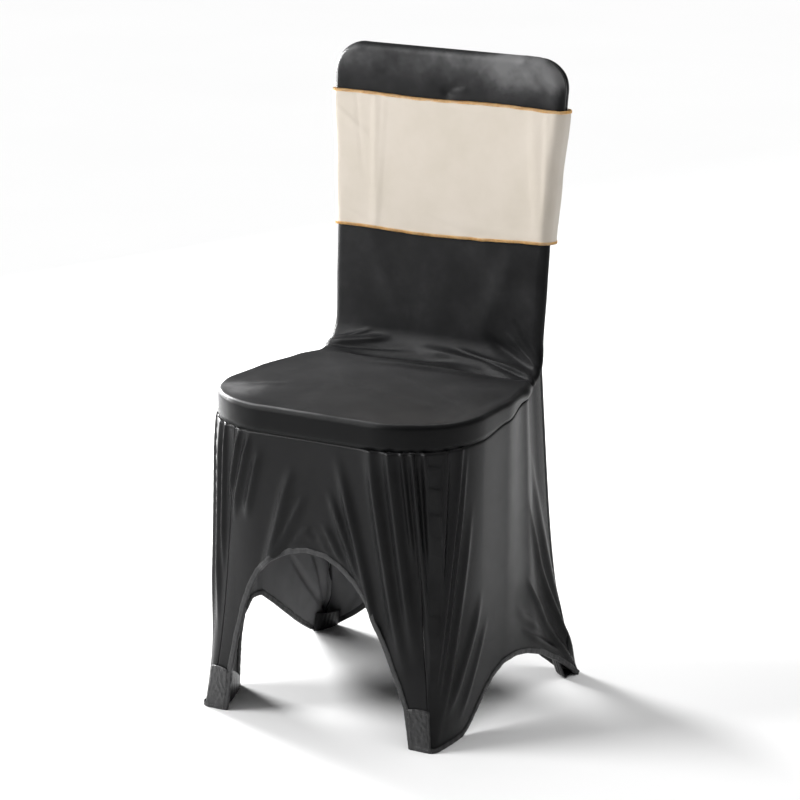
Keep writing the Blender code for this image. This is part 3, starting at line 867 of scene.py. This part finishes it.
def stretch_cloth(name, dark, light, roughness, sheen, specular, with_painted_light=False):
    """Black knitted stretch cloth: fine loops, a soft sheen and faint uneven tone."""
    material, tree, shader = new_material(name, roughness, sheen, 0.35, specular)
    height, coordinates = knit_height(tree, 0.0009, 0.0007)
    tone = noise_at(tree, coordinates, 14.0, 4.0, 0.6)
    loops = math_node(tree, "MULTIPLY", height, 0.35)
    both = math_node(tree, "ADD", math_node(tree, "MULTIPLY", tone, 0.65), loops)
    # With painted light, the tone is scaled by the painted light values on the cloth, read by
    # the attribute node: painted shade where they are low, painted highlights up to the pale
    # grey where they are high.
    if with_painted_light:
        stretch = tree.nodes.new("ShaderNodeAttribute")
        stretch.attribute_name = "tone"
        both = math_node(tree, "MULTIPLY", both, stretch.outputs["Fac"])
    plain = ((0.0, dark), (0.75, light))
    stops = ((0.0, dark), (0.60, light), (1.0, PAINTED_HIGHLIGHT_GREY)) if with_painted_light else plain
    colour_by(tree, shader, both, stops)
    patch = noise_at(tree, coordinates, 30.0, 2.0)
    span = tree.nodes.new("ShaderNodeMapRange")
    span.inputs["To Min"].default_value = roughness - 0.05
    span.inputs["To Max"].default_value = roughness + 0.06
    tree.links.new(patch, span.inputs["Value"])
    tree.links.new(span.outputs["Result"], shader.inputs["Roughness"])
    bump(tree, shader, height, 0.0003, 0.35)
    return material


def leather():
    """Black coated cloth of the toe patches: fine grain, scuffed where it stands proud."""
    material, tree, shader = new_material("toe_leather_look", 0.38, 0.0, 0.3, 0.6)
    coordinates = texture_place(tree, "UV")
    cells = tree.nodes.new("ShaderNodeTexVoronoi")
    cells.feature = "DISTANCE_TO_EDGE"
    cells.inputs["Scale"].default_value = 700.0
    tree.links.new(coordinates, cells.inputs["Vector"])
    worn = noise_at(tree, coordinates, 160.0, 5.0, 0.7)
    edges = tree.nodes.new("ShaderNodeNewGeometry").outputs["Pointiness"]
    rub = math_node(tree, "ADD", math_node(tree, "MULTIPLY", edges, 0.6),
                    math_node(tree, "MULTIPLY", worn, 0.55))
    black = (0.006, 0.006, 0.0065)
    grey = (0.020, 0.020, 0.021)
    scuff = (0.26, 0.255, 0.24)
    colour_by(tree, shader, rub, ((0.50, black), (0.72, grey), (0.86, scuff)))
    bump(tree, shader, cells.outputs["Distance"], 0.0004, 0.5)
    return material


def ivory_cloth():
    """Ivory satin-knit of the sash: fine loops, soft sheen and slight yellowing."""
    material, tree, shader = new_material("ivory_cloth_look", 0.46, 0.25, 0.4, 0.4)
    height, coordinates = knit_height(tree, 0.0008, 0.0006)
    tone = noise_at(tree, coordinates, 9.0, 4.0, 0.6)
    colour_by(tree, shader, tone, (
        (0.30, (0.61, 0.55, 0.465)),
        (0.55, (0.655, 0.59, 0.51)),
        (0.80, (0.68, 0.62, 0.545)),
    ))
    bump(tree, shader, height, 0.0002, 0.25)
    return material


def thread_material(name, dark, light, roughness=0.4):
    """Twisted sewing thread, with its colour a little uneven."""
    material, tree, shader = new_material(name, roughness, 0.3, 0.3, 0.5)
    coordinates = texture_place(tree, "Object")
    tone = noise_at(tree, coordinates, 220.0, 3.0, 0.6)
    colour_by(tree, shader, tone, ((0.3, dark), (0.7, light)))
    twist = tree.nodes.new("ShaderNodeTexWave")
    twist.bands_direction = "DIAGONAL"
    twist.inputs["Scale"].default_value = 900.0
    tree.links.new(coordinates, twist.inputs["Vector"])
    bump(tree, shader, twist.outputs["Fac"], 0.0001, 0.4)
    return material


def floor_material():
    """Pale studio floor, almost white, with the faintest uneven tone."""
    material, tree, shader = new_material("studio_floor", 0.7, 0.0, 0.3, 0.2)
    coordinates = texture_place(tree, "Object")
    tone = noise_at(tree, coordinates, 1.3, 2.0)
    colour_by(tree, shader, tone, ((0.0, (0.90, 0.90, 0.90)), (1.0, (0.93, 0.93, 0.93))))
    return material


# The front panel: backrest front, seat and seat edge in one cloth
def front_grid():
    """Places, sideways lengths, runs and ring shares of the front panel's grid."""
    columns = front_columns()
    grid = []
    flat = []
    for run, ring_end in front_rows():
        places = [front_place(side, ring, run, ring_end) for side, ring in columns]
        grid.append([tuple(place) for place, _, _ in places])
        flat.append([(x, run, max(ring, ring_end)) for (_, x, _), (_, ring) in
                     zip(places, columns)])
    return np.array(grid), np.array(flat)


def seat_ridge(flat):
    """Fine welt where the seat cloth turns down over the front edge of the pad."""
    x, run, ring = flat[..., 0], flat[..., 1], flat[..., 2]
    crest = ROUND_STEPS * 0.36
    near = np.exp(-((ring - crest) / 1.1) ** 2)
    here = smooth_all((run - 0.10) / 0.12)
    return 0.0012 * near * here * (1 + 0.25 * np.sin(x * 90.0 + run * 60.0))


def panel_painted_light(x, run, ring):
    """Painted light of the front panel: painted shade on its rounded edges and sides, painted
    highlights on the seat's edge crest, its left corner and the backrest's top.
    """
    # Painted shade: darker down the rounded edges and side walls.
    tone = 1 - 0.85 * smooth_all((ring - 2) / 5)
    on_seat = smooth_all((run - 0.06) / 0.10)
    # Painted highlight along the crest of the seat's rounded edge, stronger towards the left.
    crest = np.exp(-((ring - ROUND_STEPS * 0.36) / 0.9) ** 2)
    leftward = smooth_all((0.16 - x) / 0.34)
    tone += 2.6 * crest * on_seat * (0.25 + 0.75 * leftward)
    # Painted highlight on the front left corner of the seat.
    corner = np.exp(-((x + 0.165) / 0.035) ** 2 - ((run - 0.30) / 0.05) ** 2)
    tone += 1.6 * corner * (ring < ROUND_STEPS)
    # Painted highlight near the top of the backrest's front, stronger towards the right.
    upper = np.exp(-((run + 0.445) / 0.035) ** 2) * (ring < ROUND_STEPS)
    tone += upper * (0.7 + 1.5 * smooth_all((x - 0.02) / 0.12))
    return tone


def add_front_panel(material):
    grid, flat = front_grid()
    normal = normals_of(grid)
    x, run, ring = flat[..., 0], flat[..., 1], flat[..., 2]
    on_face = smooth_all(1 - ring / LAST_RING)
    lift = FOLD_DEPTH * fold_field(FOLDS_SEAT + FINE_SEAT, x, run) * on_face
    lift += seat_ridge(flat)
    grid = grid + normal * lift[..., None]
    grid = turn_edges(grid, normals_of(grid))
    piece = add_cloth("front_panel_cloth", grid, material, CLOTH,
                      ("front_panel",))
    # The front panel's painted shade and painted highlights are stored on it for its material.
    store_painted_light(piece, np.pad(panel_painted_light(x, run, ring), 2, mode="edge"))


# The back panel: backrest back and the rear of the skirt in one cloth
def add_back_panel(material, inside):
    bend = [1 - i / BACK_BEND_STEPS for i in range(BACK_BEND_STEPS)]
    edge = [mix(FLAT_SHARE, 1, step) for step in bend]
    flat = [mix(-1, 1, i / BACK_FACE_STEPS) * FLAT_SHARE for i in range(BACK_FACE_STEPS + 1)]
    shares = [-share for share in edge] + flat + edge[::-1]
    top = TOP_RUN + lookup(WIDTHS, TOP_RUN, 3) + BACK_ROUND
    rows = [[tuple(back_point(top, -share, step)) for share in shares] for step in bend]
    places = [[(2.5, 1.0)] * len(shares) for step in bend]
    runs = [mix(top, ARC_START, i / BACK_RUN_STEPS) for i in range(BACK_RUN_STEPS)]
    runs += [mix(ARC_START, CORNER_RUN, i / BACK_JUNCTION_STEPS)
             for i in range(BACK_JUNCTION_STEPS + 1)]
    for run in runs:
        rows.append([tuple(back_point(run, -share)) for share in shares])
        places.append([(2.5, 1.0)] * len(shares))
    for j in range(1, BACK_DROP_STEPS + 1):
        line = []
        spots = []
        for share in shares:
            place = 2.5 + share * (1.5 - SIDE_SHARE)
            hem = lookup(HEM_BACK, place - 2, 1)
            height = mix(rim_point(place).z, max(hem, FLOOR_CLEAR), j / BACK_DROP_STEPS)
            line.append(tuple(skirt_point(place, height)))
            spots.append((place, height))
        rows.append(line)
        places.append(spots)
    grid = np.array(rows)
    place, height = np.array(places)[..., 0], np.array(places)[..., 1]
    lift = skirt_folds(place, height)
    grid = grid + normals_of(grid) * lift[..., None]
    grid[..., 2] = np.maximum(grid[..., 2], CLOTH + FLOOR_CLEAR)
    grid = turn_edges(grid, normals_of(grid), bottom=False)
    piece = add_cloth("back_panel_cloth", grid, material, CLOTH, ("back_panel",),
                      inside=inside)
    # One even value over the whole back panel, with no painted shade or painted highlight on
    # it.
    store_painted_light(piece, np.full(grid.shape[:2], 0.8))


# The skirt panels
def skirt_route(hem, ends, length):
    first, last = ends
    inner = [row for row in hem if first < row[0] < last]
    route = [(first, hem[0][1])] + inner + [(last, hem[-1][1])]
    return [(along * length, height) for along, height in route]


def crowded(share):
    """Share across a panel, with the columns closer together near its seams."""
    return share - END_CROWDING * sin(2 * pi * share) / (2 * pi)


def skirt_grid(side, hem, top_ends, bottom_ends, length):
    """Dense places of a skirt panel, its folds included."""
    columns, rows = SKIRT_GRID
    route = skirt_route(hem, bottom_ends, length)
    feet = [along_polyline(route, crowded(i / columns)) for i in range(columns + 1)]
    tops = [mix(top_ends[0], top_ends[1], crowded(i / columns)) for i in range(columns + 1)]
    grid = []
    flat = []
    for j in range(rows + 1):
        drop = j / rows
        line = []
        spots = []
        for i in range(columns + 1):
            along = mix(tops[i], feet[i].x / length, drop)
            height = mix(rim_point(side + along).z - RIM_GAP, feet[i].y, drop)
            line.append(tuple(skirt_point(side + along, height)))
            spots.append((along, height, crowded(i / columns)))
        grid.append(line)
        flat.append(spots)
    grid = np.array(grid)
    flat = np.array(flat)
    along, height, share = flat[..., 0], flat[..., 1], flat[..., 2]
    lift = skirt_folds(side + along, height) + puckers(share, height)
    grid = grid + normals_of(grid) * lift[..., None]
    return grid


def puckers(share, height):
    """Small gathers along the two seams of a skirt panel."""
    near = np.exp(-(np.minimum(share, 1 - share) / 0.02) ** 2)
    beat = np.sin(height * 2 * pi / 0.011) + 0.6 * np.sin(height * 2 * pi / 0.0073 + 1.3)
    return 0.00025 * near * beat


SEAM_TOP = (0.130, 0.945)
SEAM_FOOT = (0.030, 0.990)
FRONT_LENGTH = 2 * FRONT_FOOT[0]
SIDE_LENGTH = REAR_FOOT[1] - FRONT_FOOT[1]
SIDE_END = SIDE_SHARE - GAP / SIDE_LENGTH
SEAM_STEP = GAP / FRONT_LENGTH


def mirrored(table):
    return tuple((1 - row[0], *row[1:]) for row in reversed(table))


PANELS = (
    # name, side, hem, top ends, bottom ends, length, flat width, flat height, area
    ("skirt_front", 0, HEM_FRONT, SEAM_TOP, SEAM_FOOT, FRONT_LENGTH, 0.37, 0.46, 0.085),
    ("skirt_right", 1, HEM_RIGHT, (SEAM_TOP[1] - 1 + SEAM_STEP, SIDE_END),
     (SEAM_FOOT[1] - 1 + SEAM_STEP, SIDE_END), SIDE_LENGTH, 0.42, 0.47, 0.160),
    ("skirt_left", 3, mirrored(HEM_LEFT), (1 - SIDE_END, 1 + SEAM_TOP[0] - SEAM_STEP),
     (1 - SIDE_END, 1 + SEAM_FOOT[0] - SEAM_STEP), SIDE_LENGTH, 0.42, 0.47, 0.165),
)


def add_skirts(material, inside):
    for name, side, hem, tops, bottoms, length, width, height, area in PANELS:
        grid = skirt_grid(side, hem, tops, bottoms, length)
        grid = turn_edges(grid, normals_of(grid), bottom=False)
        grid[..., 2] = np.maximum(grid[..., 2], CLOTH + FLOOR_CLEAR)
        piece = add_cloth(name + "_cloth", grid, material, CLOTH, (name,),
                          inside=inside)


# Hems
def hem_line(side, hem, ends, length):
    """Places and outward directions along a hem, evenly spaced."""
    route = skirt_route(hem, ends, length)
    count = int(length_of(route) / HEM_PITCH)
    flat = [along_polyline(route, i / count) for i in range(count + 1)]
    along = np.array([spot.x / length for spot in flat])
    height = np.array([max(spot.y, 0.0) for spot in flat])
    lift = skirt_folds(side + along, height)
    places = []
    outward = []
    for spot_along, spot_height, spot_lift in zip(along, height, lift):
        place = side + spot_along
        out = outward_at(place, spot_height)
        places.append(skirt_point(place, spot_height) + out * float(spot_lift))
        outward.append(out)
    return places, outward


def hem_frames(places, outward):
    """In-cloth directions across a hem, pointing up into the panel."""
    last = len(places) - 1
    ups = []
    for number, out in enumerate(outward):
        line = places[min(number + HEM_REACH, last)] - places[max(number - HEM_REACH, 0)]
        ups.append(out.cross(line).normalized())
    return ups


HEM_SECTION = (
    # up share, out share of a folded hem's section, once round
    (1.00, 1.0), (0.80, 1.6), (0.50, 1.3), (0.18, 1.7), (-0.04, 1.2),
    (-0.12, 0.0), (-0.04, -1.2), (0.18, -1.7), (0.50, -1.3), (0.80, -1.6), (1.00, -1.0),
)


def add_hem(name, places, outward, material):
    """Folded hem round a cloth edge, a little uneven and puckered. Returns its stitches."""
    ups = hem_frames(places, outward)
    rows = []
    for number, (place, out, up) in enumerate(zip(places, outward, ups)):
        wobble = noise.noise(Vector((number * 0.21, len(places) * 0.1, 0.0)))
        gather = sin(number * 1.9) * 0.5 + sin(number * 0.83 + 1.0) * 0.5
        tall = HEM_HEIGHT * (1 + 0.10 * wobble)
        proud = HEM_PROUD * (1 + 0.30 * gather)
        middle = place - out * CLOTH / 2
        line = []
        for up_share, out_share in HEM_SECTION:
            out_by = out_share * proud + (CLOTH / 2 if out_share > 0 else -CLOTH / 2)
            spot = middle + up * tall * up_share + out * out_by
            spot.z = max(spot.z, 0.0002)
            line.append(tuple(spot))
        rows.append(line)
    grid = np.array(rows).transpose(1, 0, 2)
    add_piece(name, mesh_from_grid(name, grid, material))
    line = [place + up * HEM_HEIGHT * 0.72 + out * (HEM_PROUD * 1.5)
            for place, out, up in zip(places, outward, ups)]
    return stitches_along(line, outward)


def add_hems(material, thread):
    threads = []
    lines = [(name, side, hem, bottoms, length)
             for name, side, hem, _, bottoms, length, _, _, _ in PANELS]
    lines.append(("back_panel", 2, HEM_BACK, (1 - SIDE_SHARE, SIDE_SHARE), 2 * REAR_FOOT[0]))
    for name, side, hem, ends, length in lines:
        places, outward = hem_line(side, hem, ends, length)
        threads += add_hem(name + "_hem", places, outward, material)
    add_threads("hem_stitching", threads, THREAD, thread)


# Foot pockets and toe patches
def add_pockets(material):
    columns, walls, soles = POCKET_GRID
    for name, corner, before, after, top_before, top_after, round_share, area in FEET:
        rows = []
        for j in range(walls + soles + 1):
            down = min(j / walls, 1)
            slide = max(j - walls, 0) / soles * SOLE_REACH
            line = []
            for i in range(columns + 1):
                share = i / columns
                height = mix(mix(top_before, top_after, share), FLOOR_CLEAR, down)
                start = inside_skirt(corner - before, height, POCKET_INSET)
                end = inside_skirt(corner + after, height, POCKET_INSET)
                tip = inside_skirt(corner, height, 2 * POCKET_INSET)
                bulge = start.lerp(end, 0.5).lerp(start + end - tip, round_share)
                bulge.z = height
                spot = start.lerp(bulge, share).lerp(bulge.lerp(end, share), share)
                spot = spot.lerp(tip, slide)
                ripple = sin(share * 40.0 + height * 90.0) * 0.0004 * sin(pi * share)
                spot += (tip - bulge).normalized() * ripple * (1 - slide)
                spot.z = max(spot.z, FLOOR_CLEAR + 2 * CLOTH)
                line.append(tuple(spot))
            rows.append(line[::-1])
        grid = np.array(rows)
        piece = add_cloth("pocket_" + name + "_cloth", grid, material, CLOTH,
                          ("pocket_" + name,))


def toe_grid(start, end, top):
    """Places of a toe patch over the skirt, wrinkled and proud of it at its edges."""
    grid = []
    for j in range(TOE_STEPS + 1):
        down = j / TOE_STEPS
        line = []
        for i in range(TOE_STEPS + 1):
            share = i / TOE_STEPS
            place = mix(start, end, share)
            arch = 1 - 0.04 * (2 * share - 1) ** 2
            height = mix(top * arch, FLOOR_CLEAR, down)
            edge = min(share, 1 - share, down)
            rim = exp(-((edge - 0.05) / 0.035) ** 2)
            crinkle = noise.noise(Vector((share * 7.0, down * 9.0, start * 10)))
            crinkle += 0.5 * noise.noise(Vector((share * 19.0, down * 23.0, start * 10)))
            lift = TOE_CLOTH + TOE_LIFT + 0.0005 * rim + 0.0008 * crinkle
            spot = skirt_point(place, height) + outward_at(place, height) * lift
            line.append(tuple(spot))
        grid.append(line)
    return np.array(grid)


def add_toes(material, thread):
    threads = []
    first = TOE_SEAM_INSET
    last = TOE_STEPS - TOE_SEAM_INSET
    foot = TOE_STEPS - 2
    route = [(j, first) for j in range(foot, first, -1)]
    route += [(first, i) for i in range(first, last + 1)]
    route += [(j, last) for j in range(first, foot)]
    for name, start, end, top in TOES:
        grid = toe_grid(start, end, top)
        piece = add_cloth(name + "_patch", grid, material, TOE_CLOTH, (name,))
        normal = normals_of(grid)
        points = [Vector(grid[j, i]) for j, i in route]
        outward = [Vector(normal[j, i]) for j, i in route]
        threads += stitches_along(points, outward)
    add_threads("toe_stitching", threads, THREAD, thread)


# The sash
def band_outline(half, near, far, radius, across=150, bend=14, behind=90):
    """Rounded rectangle round the backrest as (x, inward) places, front face first."""
    side = half - radius
    centres = ((side, near + radius), (side, far - radius),
               (-side, far - radius), (-side, near + radius))
    bends = []
    for number, (x, inward) in enumerate(centres):
        turns = [radians(90 * (number - 1 + i / bend)) for i in range(1, bend + 1)]
        bends.append([(x + radius * cos(turn), inward + radius * sin(turn)) for turn in turns])
    front = [(mix(-side, side, i / across), near) for i in range(across + 1)]
    back = [(mix(side, -side, i / behind), far) for i in range(1, behind + 1)]
    return (front + bends[0] + bends[1] + back + bends[2] + bends[3])[:-1]


def sash_row(share, clear):
    """Places round the sash, share 0 at its top edge and 1 at its bottom edge."""
    row = []
    height = mix(SASH_TOP, SASH_BOTTOM, share)
    run = ARC_START - (height - path(ARC_START)[0].y) / cos(BACK_LEAN)
    half = lookup(WIDTHS, run, 1) + clear
    places = band_outline(half, -clear, POCKET_DEPTH + clear, EDGE_ROUND + clear)
    for number, (x, inward) in enumerate(places):
        turn = number / len(places)
        wave = SASH_DIP * sin(2 * pi * turn * 3 + 0.8)
        wave += 0.0005 * noise.noise(Vector((turn * 40.0, share * 2.0, 3.0)))
        rise = SASH_RIGHT_RISE * smooth((x - 0.06) / 0.12) * share
        level = height + wave + rise
        centre, outward = path(ARC_START - (level - path(ARC_START)[0].y) / cos(BACK_LEAN))
        lift = -inward
        if inward < 0:
            here = np.array(x), np.array(level)
            lift += SASH_FOLD_DEPTH * abs(float(fold_field(SASH_FOLDS, *here)))
            lift += SASH_FOLD_DEPTH * float(fold_field(SASH_FINE, *here))
        lip = exp(-(min(share, 1 - share) * 0.2 / 0.004) ** 2)
        lift += 0.0006 * lip * sin(turn * 2 * pi * 17)
        spot = centre + outward * lift
        row.append((x, spot.x, spot.y))
    return row


def add_sash(material, thread):
    clear = SASH_CLEAR + SASH_CLOTH
    grid = np.array([sash_row(i / SASH_ROWS, clear) for i in range(SASH_ROWS + 1)])
    piece = add_cloth("sash_cloth", grid, material, SASH_CLOTH, ("sash",),
                      closed=True)
    normal = normals_of(grid, closed=True)
    for name, row, up in (("sash_edge_top", 0, 1), ("sash_edge_bottom", SASH_ROWS, -1)):
        add_overlock(name, grid[row], normal[row], up, thread)


def add_overlock(name, edge, normal, up, material):
    """Overlock thread wrapped over a raw edge of the sash, with its chain on the face."""
    width = OVERLOCK_WIDTH
    lift = OVERLOCK_LIFT
    points = [Vector(spot) for spot in edge] + [Vector(edge[0])]
    outward = [Vector(line) for line in normal] + [Vector(normal[0])]
    rise = Vector((0, 0, up))
    total = length_of(points)
    count = int(total / OVERLOCK_PITCH)
    spots = spots_along(points, outward, [total * i / count for i in range(count + 1)])
    threads = []
    for (here, out), (there, _) in zip(spots, spots[1:]):
        inner = here - out * SASH_CLOTH
        thread = [
            here - rise * width + out * lift,
            here.lerp(there, 0.35) - rise * width * 0.35 + out * (lift + 0.0003),
            here.lerp(there, 0.5) + rise * 0.0006 + out * lift * 0.2,
            inner.lerp(there - out * SASH_CLOTH, 0.5) + rise * 0.0006,
            inner.lerp(there - out * SASH_CLOTH, 0.75) - rise * width * 0.4 - out * lift,
            there - out * SASH_CLOTH - rise * width - out * lift * 0.3,
        ]
        threads.append(thread)
        threads.append([
            here - rise * width + out * lift,
            here.lerp(there, 0.5) - rise * (width + 0.0002) + out * (lift + 0.0003),
            there - rise * width + out * lift,
        ])
    add_threads(name + "_overlock", threads, OVERLOCK_THREAD, material, (name,))


# The room
def add_stage():
    corners = [(-FLOOR, -FLOOR, 0), (FLOOR, -FLOOR, 0), (FLOOR, FLOOR, 0), (-FLOOR, FLOOR, 0)]
    mesh = new_mesh("floor", corners, [(0, 1, 2, 3)], floor_material())
    add_object("studio_floor", mesh)


def aim(piece, target):
    direction = target - piece.location
    piece.rotation_euler = direction.to_track_quat("-Z", "Y").to_euler()


def add_light(name, kind, place, target, power):
    light = bpy.data.lights.new(name, kind)
    light.energy = power
    piece = add_object(name, light)
    piece.location = place
    aim(piece, Vector(target))
    return light


FLOOR = 14.0
SUNS = (
    # name, towards the light, spread in degrees, strength
    ("key", (-1.00, -0.62, 0.62), 30, 3.5),
    ("top", (0.10, 0.10, 1.00), 70, 1.60),
)
EDGE_LIGHT = (-2.3, 0.9, 1.0)
EDGE_LIGHT_TARGET = (0, 0, 0.6)
EDGE_LIGHT_SIZE = 0.8
EDGE_LIGHT_POWER = 130.0
WORLD_STRENGTH = 0.10


def add_lights():
    for name, place, spread, strength in SUNS:
        light = add_light(name, "SUN", place, (0, 0, 0), strength)
        light.angle = radians(spread)
    light = add_light("left_edge", "AREA", EDGE_LIGHT, EDGE_LIGHT_TARGET, EDGE_LIGHT_POWER)
    light.shape = "DISK"
    light.size = EDGE_LIGHT_SIZE
    world = bpy.data.worlds.new("studio")
    world.use_nodes = True
    background = world.node_tree.nodes["Background"]
    background.inputs["Color"].default_value = (1.0, 1.0, 1.0, 1)
    background.inputs["Strength"].default_value = WORLD_STRENGTH
    bpy.context.scene.world = world
    bpy.context.scene.view_settings.view_transform = "Standard"


def add_camera():
    data = bpy.data.cameras.new("camera")
    data.lens = LENS
    data.sensor_width = SENSOR
    data.sensor_fit = "HORIZONTAL"
    data.clip_end = 100
    camera = add_object("camera", data)
    level = CAMERA_DISTANCE * cos(CAMERA_ELEVATION)
    camera.location = TARGET + Vector((
        level * sin(CAMERA_AZIMUTH),
        -level * cos(CAMERA_AZIMUTH),
        CAMERA_DISTANCE * sin(CAMERA_ELEVATION),
    ))
    aim(camera, TARGET)
    bpy.context.scene.camera = camera


def write_sizes():
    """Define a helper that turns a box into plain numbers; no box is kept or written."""
    def plain(box):
        return [[float(value) for value in corner] for corner in box]


def main():
    add_camera()
    add_stage()
    add_lights()
    panel_black = stretch_cloth("panel_cloth", (0.0012, 0.0014, 0.0016), (0.021, 0.021, 0.022),
                                0.34, 0.04, 0.12, with_painted_light=True)
    skirt_black = stretch_cloth("skirt_cloth", (0.003, 0.003, 0.0035), (0.013, 0.013, 0.0135),
                                0.31, 0.0, 0.15)
    # Cloth of the hems, several times paler than the skirt's: a painted highlight standing in
    # for the light caught along the hem edges.
    hem_painted_highlight_cloth = stretch_cloth("hem_cloth_painted_highlight", (0.016, 0.016, 0.0165), (0.050, 0.050, 0.051),
                              0.40, 0.05, 0.30)
    # Inside face of the cloth: the back of the knit is matter and a little paler, and it is
    # lightened much further as painted light standing in for the light that falls through the
    # arches onto the inner faces.
    inside_pale_with_painted_light = stretch_cloth("cloth_inside_pale_with_painted_light", (0.09, 0.09, 0.092), (0.21, 0.21, 0.215),
                                 0.6, 0.10, 0.20)
    black_thread = thread_material("black_thread", (0.010, 0.010, 0.010), (0.05, 0.05, 0.05))
    gold = thread_material("gold_thread_look", (0.78, 0.40, 0.09), (1.0, 0.66, 0.27))
    add_front_panel(panel_black)
    add_back_panel(panel_black, inside_pale_with_painted_light)
    add_skirts(skirt_black, inside_pale_with_painted_light)
    add_hems(hem_painted_highlight_cloth, black_thread)
    add_pockets(skirt_black)
    add_toes(leather(), black_thread)
    add_sash(ivory_cloth(), gold)
    write_sizes()


main()
